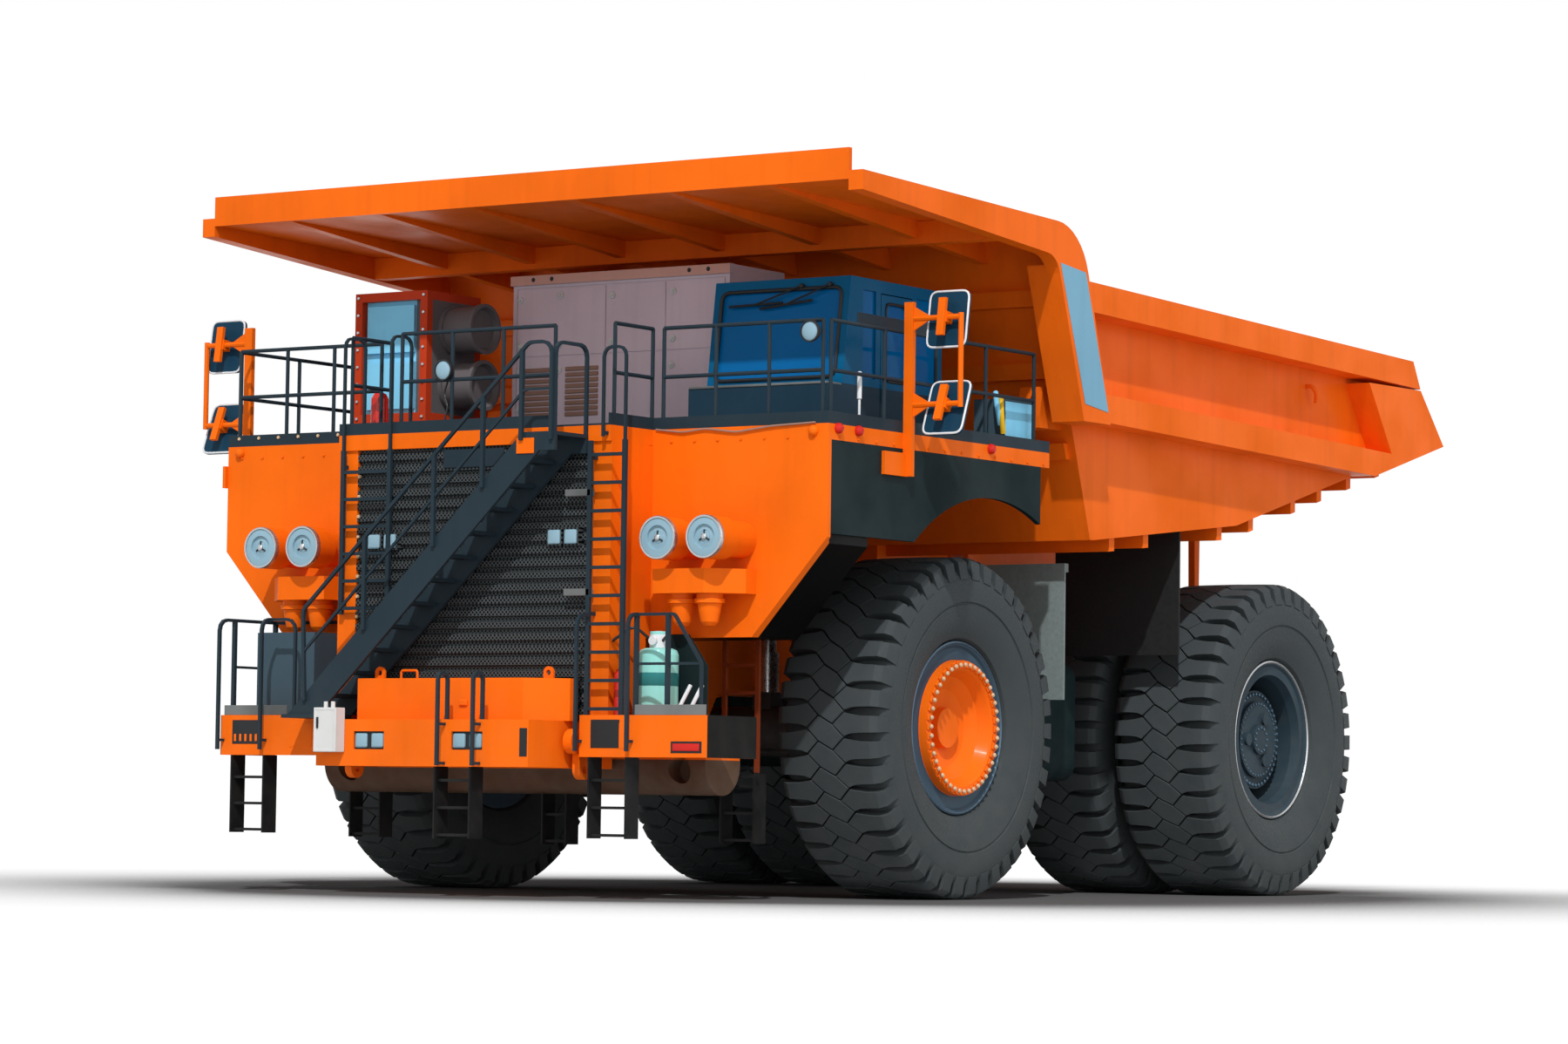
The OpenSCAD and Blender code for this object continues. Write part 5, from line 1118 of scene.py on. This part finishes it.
box_skin = plate((-1.344, -5.072, 1.526), (-1.036, -4.912, 2.004), 0.006)
edit(box_skin, "FACE", lambda middle, normal: normal.y < -0.9)
bpy.ops.mesh.inset(thickness=LID_RIM, depth=0.0)
bpy.ops.mesh.inset(thickness=LID_GROOVE, depth=-LID_GROOVE)
idle()
glands = [rod(at(x, -4.99, 2.0), at(x, -4.99, 2.07), 0.024, 12) for x in GLANDS]
done(joined([box_skin, *glands]), "junction_box_skin", pale_paint)
done(plate((-1.3, -5.084, 1.78), (-1.275, -5.066, 1.9)), "junction_box_handle", black_plastic)
done(plate((2.86, -4.318, 1.565), (3.2, -4.306, 1.644), 0.008, 2), "reflector", red_lens)
grate = []
for bar in range(GRATE_BARS):
    x = GRATE_LEFT + GRATE_PITCH * bar
    grate.append(plate((x, -4.317, 1.65), (x + GRATE_BAR, -4.31, 1.73), 0.003))
done(joined(grate), "step_grate_bars", orange_paint)
grip = plate((0.28, -4.63, 2.03), (0.39, -4.598, 2.1), 0.012)
done(joined([tube(HANDLE, 0.014, 0.03), grip]), "bumper_handles", orange_paint)
seam = plate((1.8, -3.404, 2.792), (1.849, -3.318, 4.858))
done(joined([seam, mirrored(seam)]), "fender_seams", orange_paint)

# %% [markdown]
# Rows of bolt heads fasten the grille's edges, the band and the kick board at the deck's edge and the
# resistor rack. One head is a short six-sided bar with a bevelled rim, and each row is copies of it.

# %% Rows of bolts
HEAD_STANDS = 0.016
FORWARD = (0, -1, 0)
BAND_SIDE, BAND_FRONT, BAND_Z = 4.109, -3.322, 4.895


def bolt_row(start, step, count, face, size=0.016):
    """Copies of one bolt head along a row, standing out of a face by its direction."""
    out = Vector(face) * HEAD_STANDS
    head = rod(Vector(start) - out, Vector(start) + out, size, 6, 0.004)
    return joined([head] + [copy_of(head, Vector(step) * i) for i in range(1, count)])


grille_rows = [bolt_row(at(x, -4.072, 2.15), (0, 0, 0.22), 12, FORWARD, 0.021) for x in (-1.575, 1.575)]
done(joined(grille_rows), "grille_bolts", nut_metal)
band_rows = [bolt_row(at(way * BAND_SIDE, -3.1, BAND_Z), (0, 0.35, 0), 13, (way, 0, 0)) for way in (1, -1)]
band_rows += [bolt_row(at(x, BAND_FRONT, BAND_Z), (0.3, 0, 0), 7, FORWARD) for x in (2.1, -3.9)]
done(joined(band_rows), "band_bolts", orange_paint)
rack_rows = [bolt_row(at(x, -2.252, 5.2), (0, 0, 0.2), 9, FORWARD, 0.02) for x in (-3.1, -2.15)]
done(joined(rack_rows), "rack_bolts", bright_steel)
kick_row = bolt_row(at(-3.95, BAND_FRONT, 5.12), (0.29, 0, 0), 7, FORWARD, 0.02)
done(kick_row, "kick_board_bolts", nut_metal)

# %% [markdown]
# Lamps along the deck: red marker lamps at the band's sides, orange ones at its front corners, and two round
# work lamps, one on the nose rail and one on the left rail, where a flat bar runs too. Each lamp is a domed
# outline spun round its own axis, because all of them are round.

# %% Deck lamps
DOME = [(0.058, 0.0), (0.058, 0.02), (0.05, 0.045), (0.03, 0.062), (0.0, 0.068)]
MARKERS, MARKER_Z = (-0.05, -2.76, -3.15), 4.985
BAND_LAMPS = [(-3.927, -3.321, 4.955), (3.927, -3.321, 4.955)]
WORK_LAMPS = [(-0.4, -4.1, 5.7), (3.9, -3.37, 6.0)]
SHELL = [(0.0, -0.11), (0.05, -0.105), (0.09, -0.06), (0.117, 0.0), (0.117, 0.03), (0.104, 0.034),
         (0.1, 0.02)]
GLASS = [(0.102, 0.02), (0.08, 0.034), (0.04, 0.042), (0.0, 0.044)]
YOKES = [[(-0.4, -4.04, 5.6), (-0.4, -4.1, 5.6)], [(3.9, -3.27, 6.12), (3.9, -3.36, 6.1)]]
LAMP_CABLE = [(-0.4, -4.0, 5.66), (-0.46, -4.02, 5.45), (-0.38, -4.05, 5.3), (-0.42, -4.06, 5.14)]
markers = []
for y in MARKERS:
    points = [at(BAND_SIDE + out, y + radius, MARKER_Z) for radius, out in DOME]
    markers.append(turned(points, at(BAND_SIDE, y, MARKER_Z), AXLE, steps=24))
markers += [mirrored(piece) for piece in markers]
done(joined(markers), "marker_lamps", red_lens)
for name, places, outline, finish in (("band_lamps", BAND_LAMPS, DOME, orange_paint),
                                      ("work_lamp_shell", WORK_LAMPS, SHELL, black_plastic),
                                      ("work_lamp_lens", WORK_LAMPS, GLASS, lamp_lens)):
    done(joined([lamp_round(*place, outline) for place in places]), name, finish)
yokes = [tube(places, 0.014) for places in YOKES]
done(joined([*yokes, tube(LAMP_CABLE, 0.01, 0.05)]), "work_lamp_yoke", black_plastic)
done(plate((4.04, -2.7, 6.13), (4.06, -0.54, 6.26)), "rail_bar", slate_paint)

# %% [markdown]
# The tall panel on the body's front post is pale and reflective, a flat outline drawn out to a thin plate.
# Two hooks hang under each side's rim, bent from round bar. They tip with the body, so they ride on it.

# %% Panel and hooks on the load body
PANEL = [(0.74, 7.12), (1.3, 7.065), (1.84, 5.52), (1.315, 5.58)]
WING_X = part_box("canopy")[1].x
HOOKS = [(1.9, 6.48), (7.5, 6.3)]
panel = soften(slab([at(WING_X - 0.002, y, z) for y, z in PANEL], (0.008, 0, 0)), 0.002)
done(panel, "reflective_panel", panel_paint, "dump_body")
hooks = []
for y, z in HOOKS:
    route = [(4.1, y, z), (4.2, y, z), (4.24, y + 0.04, z - 0.1), (4.2, y + 0.08, z - 0.2)]
    hooks.append(tube(route, 0.026, 0.05))
left_hooks = joined(hooks)
done(mirrored(left_hooks), "body_hooks_right", body_paint, "dump_body")
done(left_hooks, "body_hooks_left", body_paint, "dump_body")

# %% [markdown]
# On the left step stands the grease tank with a dark band, a white pump and two hoses, beside two leaning
# bars and in front of a dark panel. Band and pump are outlines spun round the tank's upright axis.

# %% Grease tank and its step
TANK_X, TANK_Y = 2.25, -3.72
TANK_BAND = [(0.2155, 2.26), (0.219, 2.265), (0.219, 2.395), (0.2155, 2.4)]
PUMP = [(0.098, 2.665), (0.1, 2.7), (0.1, 2.79), (0.085, 2.84), (0.03, 2.846), (0.0, 2.847)]
HOSES = [[(2.33, -3.76, 2.74), (2.46, -3.86, 2.8), (2.52, -3.9, 2.5), (2.5, -3.9, 1.95)],
         [(2.16, -3.76, 2.76), (2.05, -3.9, 2.9), (1.8, -4.02, 2.7), (1.75, -4.05, 2.2)]]
STEP_PANEL = [(2.2, 1.942), (2.72, 1.942), (2.72, 2.48), (2.47, 2.82), (2.2, 2.82)]


def round_tank(outline, steps):
    """An outline of (radius, height) spun round the grease tank's upright axis."""
    points = [at(TANK_X + radius, TANK_Y, z) for radius, z in outline]
    return turned(points, at(TANK_X, TANK_Y, 0), (0, 0, 1), steps)


done(round_tank(TANK_BAND, 48), "grease_tank_band", dark_teal)
gauge = rod(at(TANK_X, -3.81, 2.74), at(TANK_X, -3.85, 2.74), 0.05, 20)
done(joined([round_tank(PUMP, 32), gauge]), "grease_pump", white_paint)
done(joined([tube(places, 0.016, 0.08) for places in HOSES]), "grease_hoses", black_plastic)
bars = [rod(at(x, -4.2, 1.95), at(x + 0.1, -4.08, 2.26), 0.022, 12) for x in (2.82, 2.97)]
done(joined(bars), "step_bars", white_paint)
back_panel = soften(slab([at(x, -3.48, z) for x, z in STEP_PANEL], (0, 0.012, 0)), 0.003)
done(back_panel, "step_back_panel", skirt_paint)

# %% [markdown]
# Loose details on the deck: a white aerial, the bracket at the stair's head, a cable along the kick board,
# and the bundle and the cover at the control box. The cable and the bundle are tubes with rounded corners.

# %% Deck details
DECK_CABLE = [(1.9, -3.335, 5.03), (2.25, -3.345, 4.99), (2.55, -3.345, 5.02), (2.95, -3.345, 4.97),
              (3.4, -3.345, 5.02), (3.95, -3.335, 5.04)]
YELLOW_BUNDLE = [(3.96, 0.42, 5.62), (4.0, 0.36, 5.45), (3.98, 0.44, 5.2)]
BLUE_BUNDLE = [(3.9, 0.4, 5.66), (3.98, 0.3, 5.5), (3.95, 0.42, 5.3)]
AERIAL_X, AERIAL_Y = 3.99, -2.55
aerial = joined([rod(at(AERIAL_X, AERIAL_Y, 5.16), at(AERIAL_X, AERIAL_Y, 5.36), 0.014, 10),
                 rod(at(AERIAL_X, AERIAL_Y, 5.34), at(AERIAL_X, AERIAL_Y, 5.64), 0.026, 14, 0.01)])
done(aerial, "aerial", white_paint)
done(plate((1.06, -4.714, 4.7), (1.29, -4.699, 4.865)), "stair_bracket", orange_paint)
done(tube(DECK_CABLE, 0.011, 0.06), "deck_cable", brown_paint)
done(tube(YELLOW_BUNDLE, 0.03, 0.09), "bundle_yellow", yellow_paint)
done(tube(BLUE_BUNDLE, 0.03, 0.09), "bundle_blue", resistor_paint)
done(plate((3.949, 0.53, 5.08), (3.957, 1.11, 5.57)), "control_box_cover", resistor_paint)
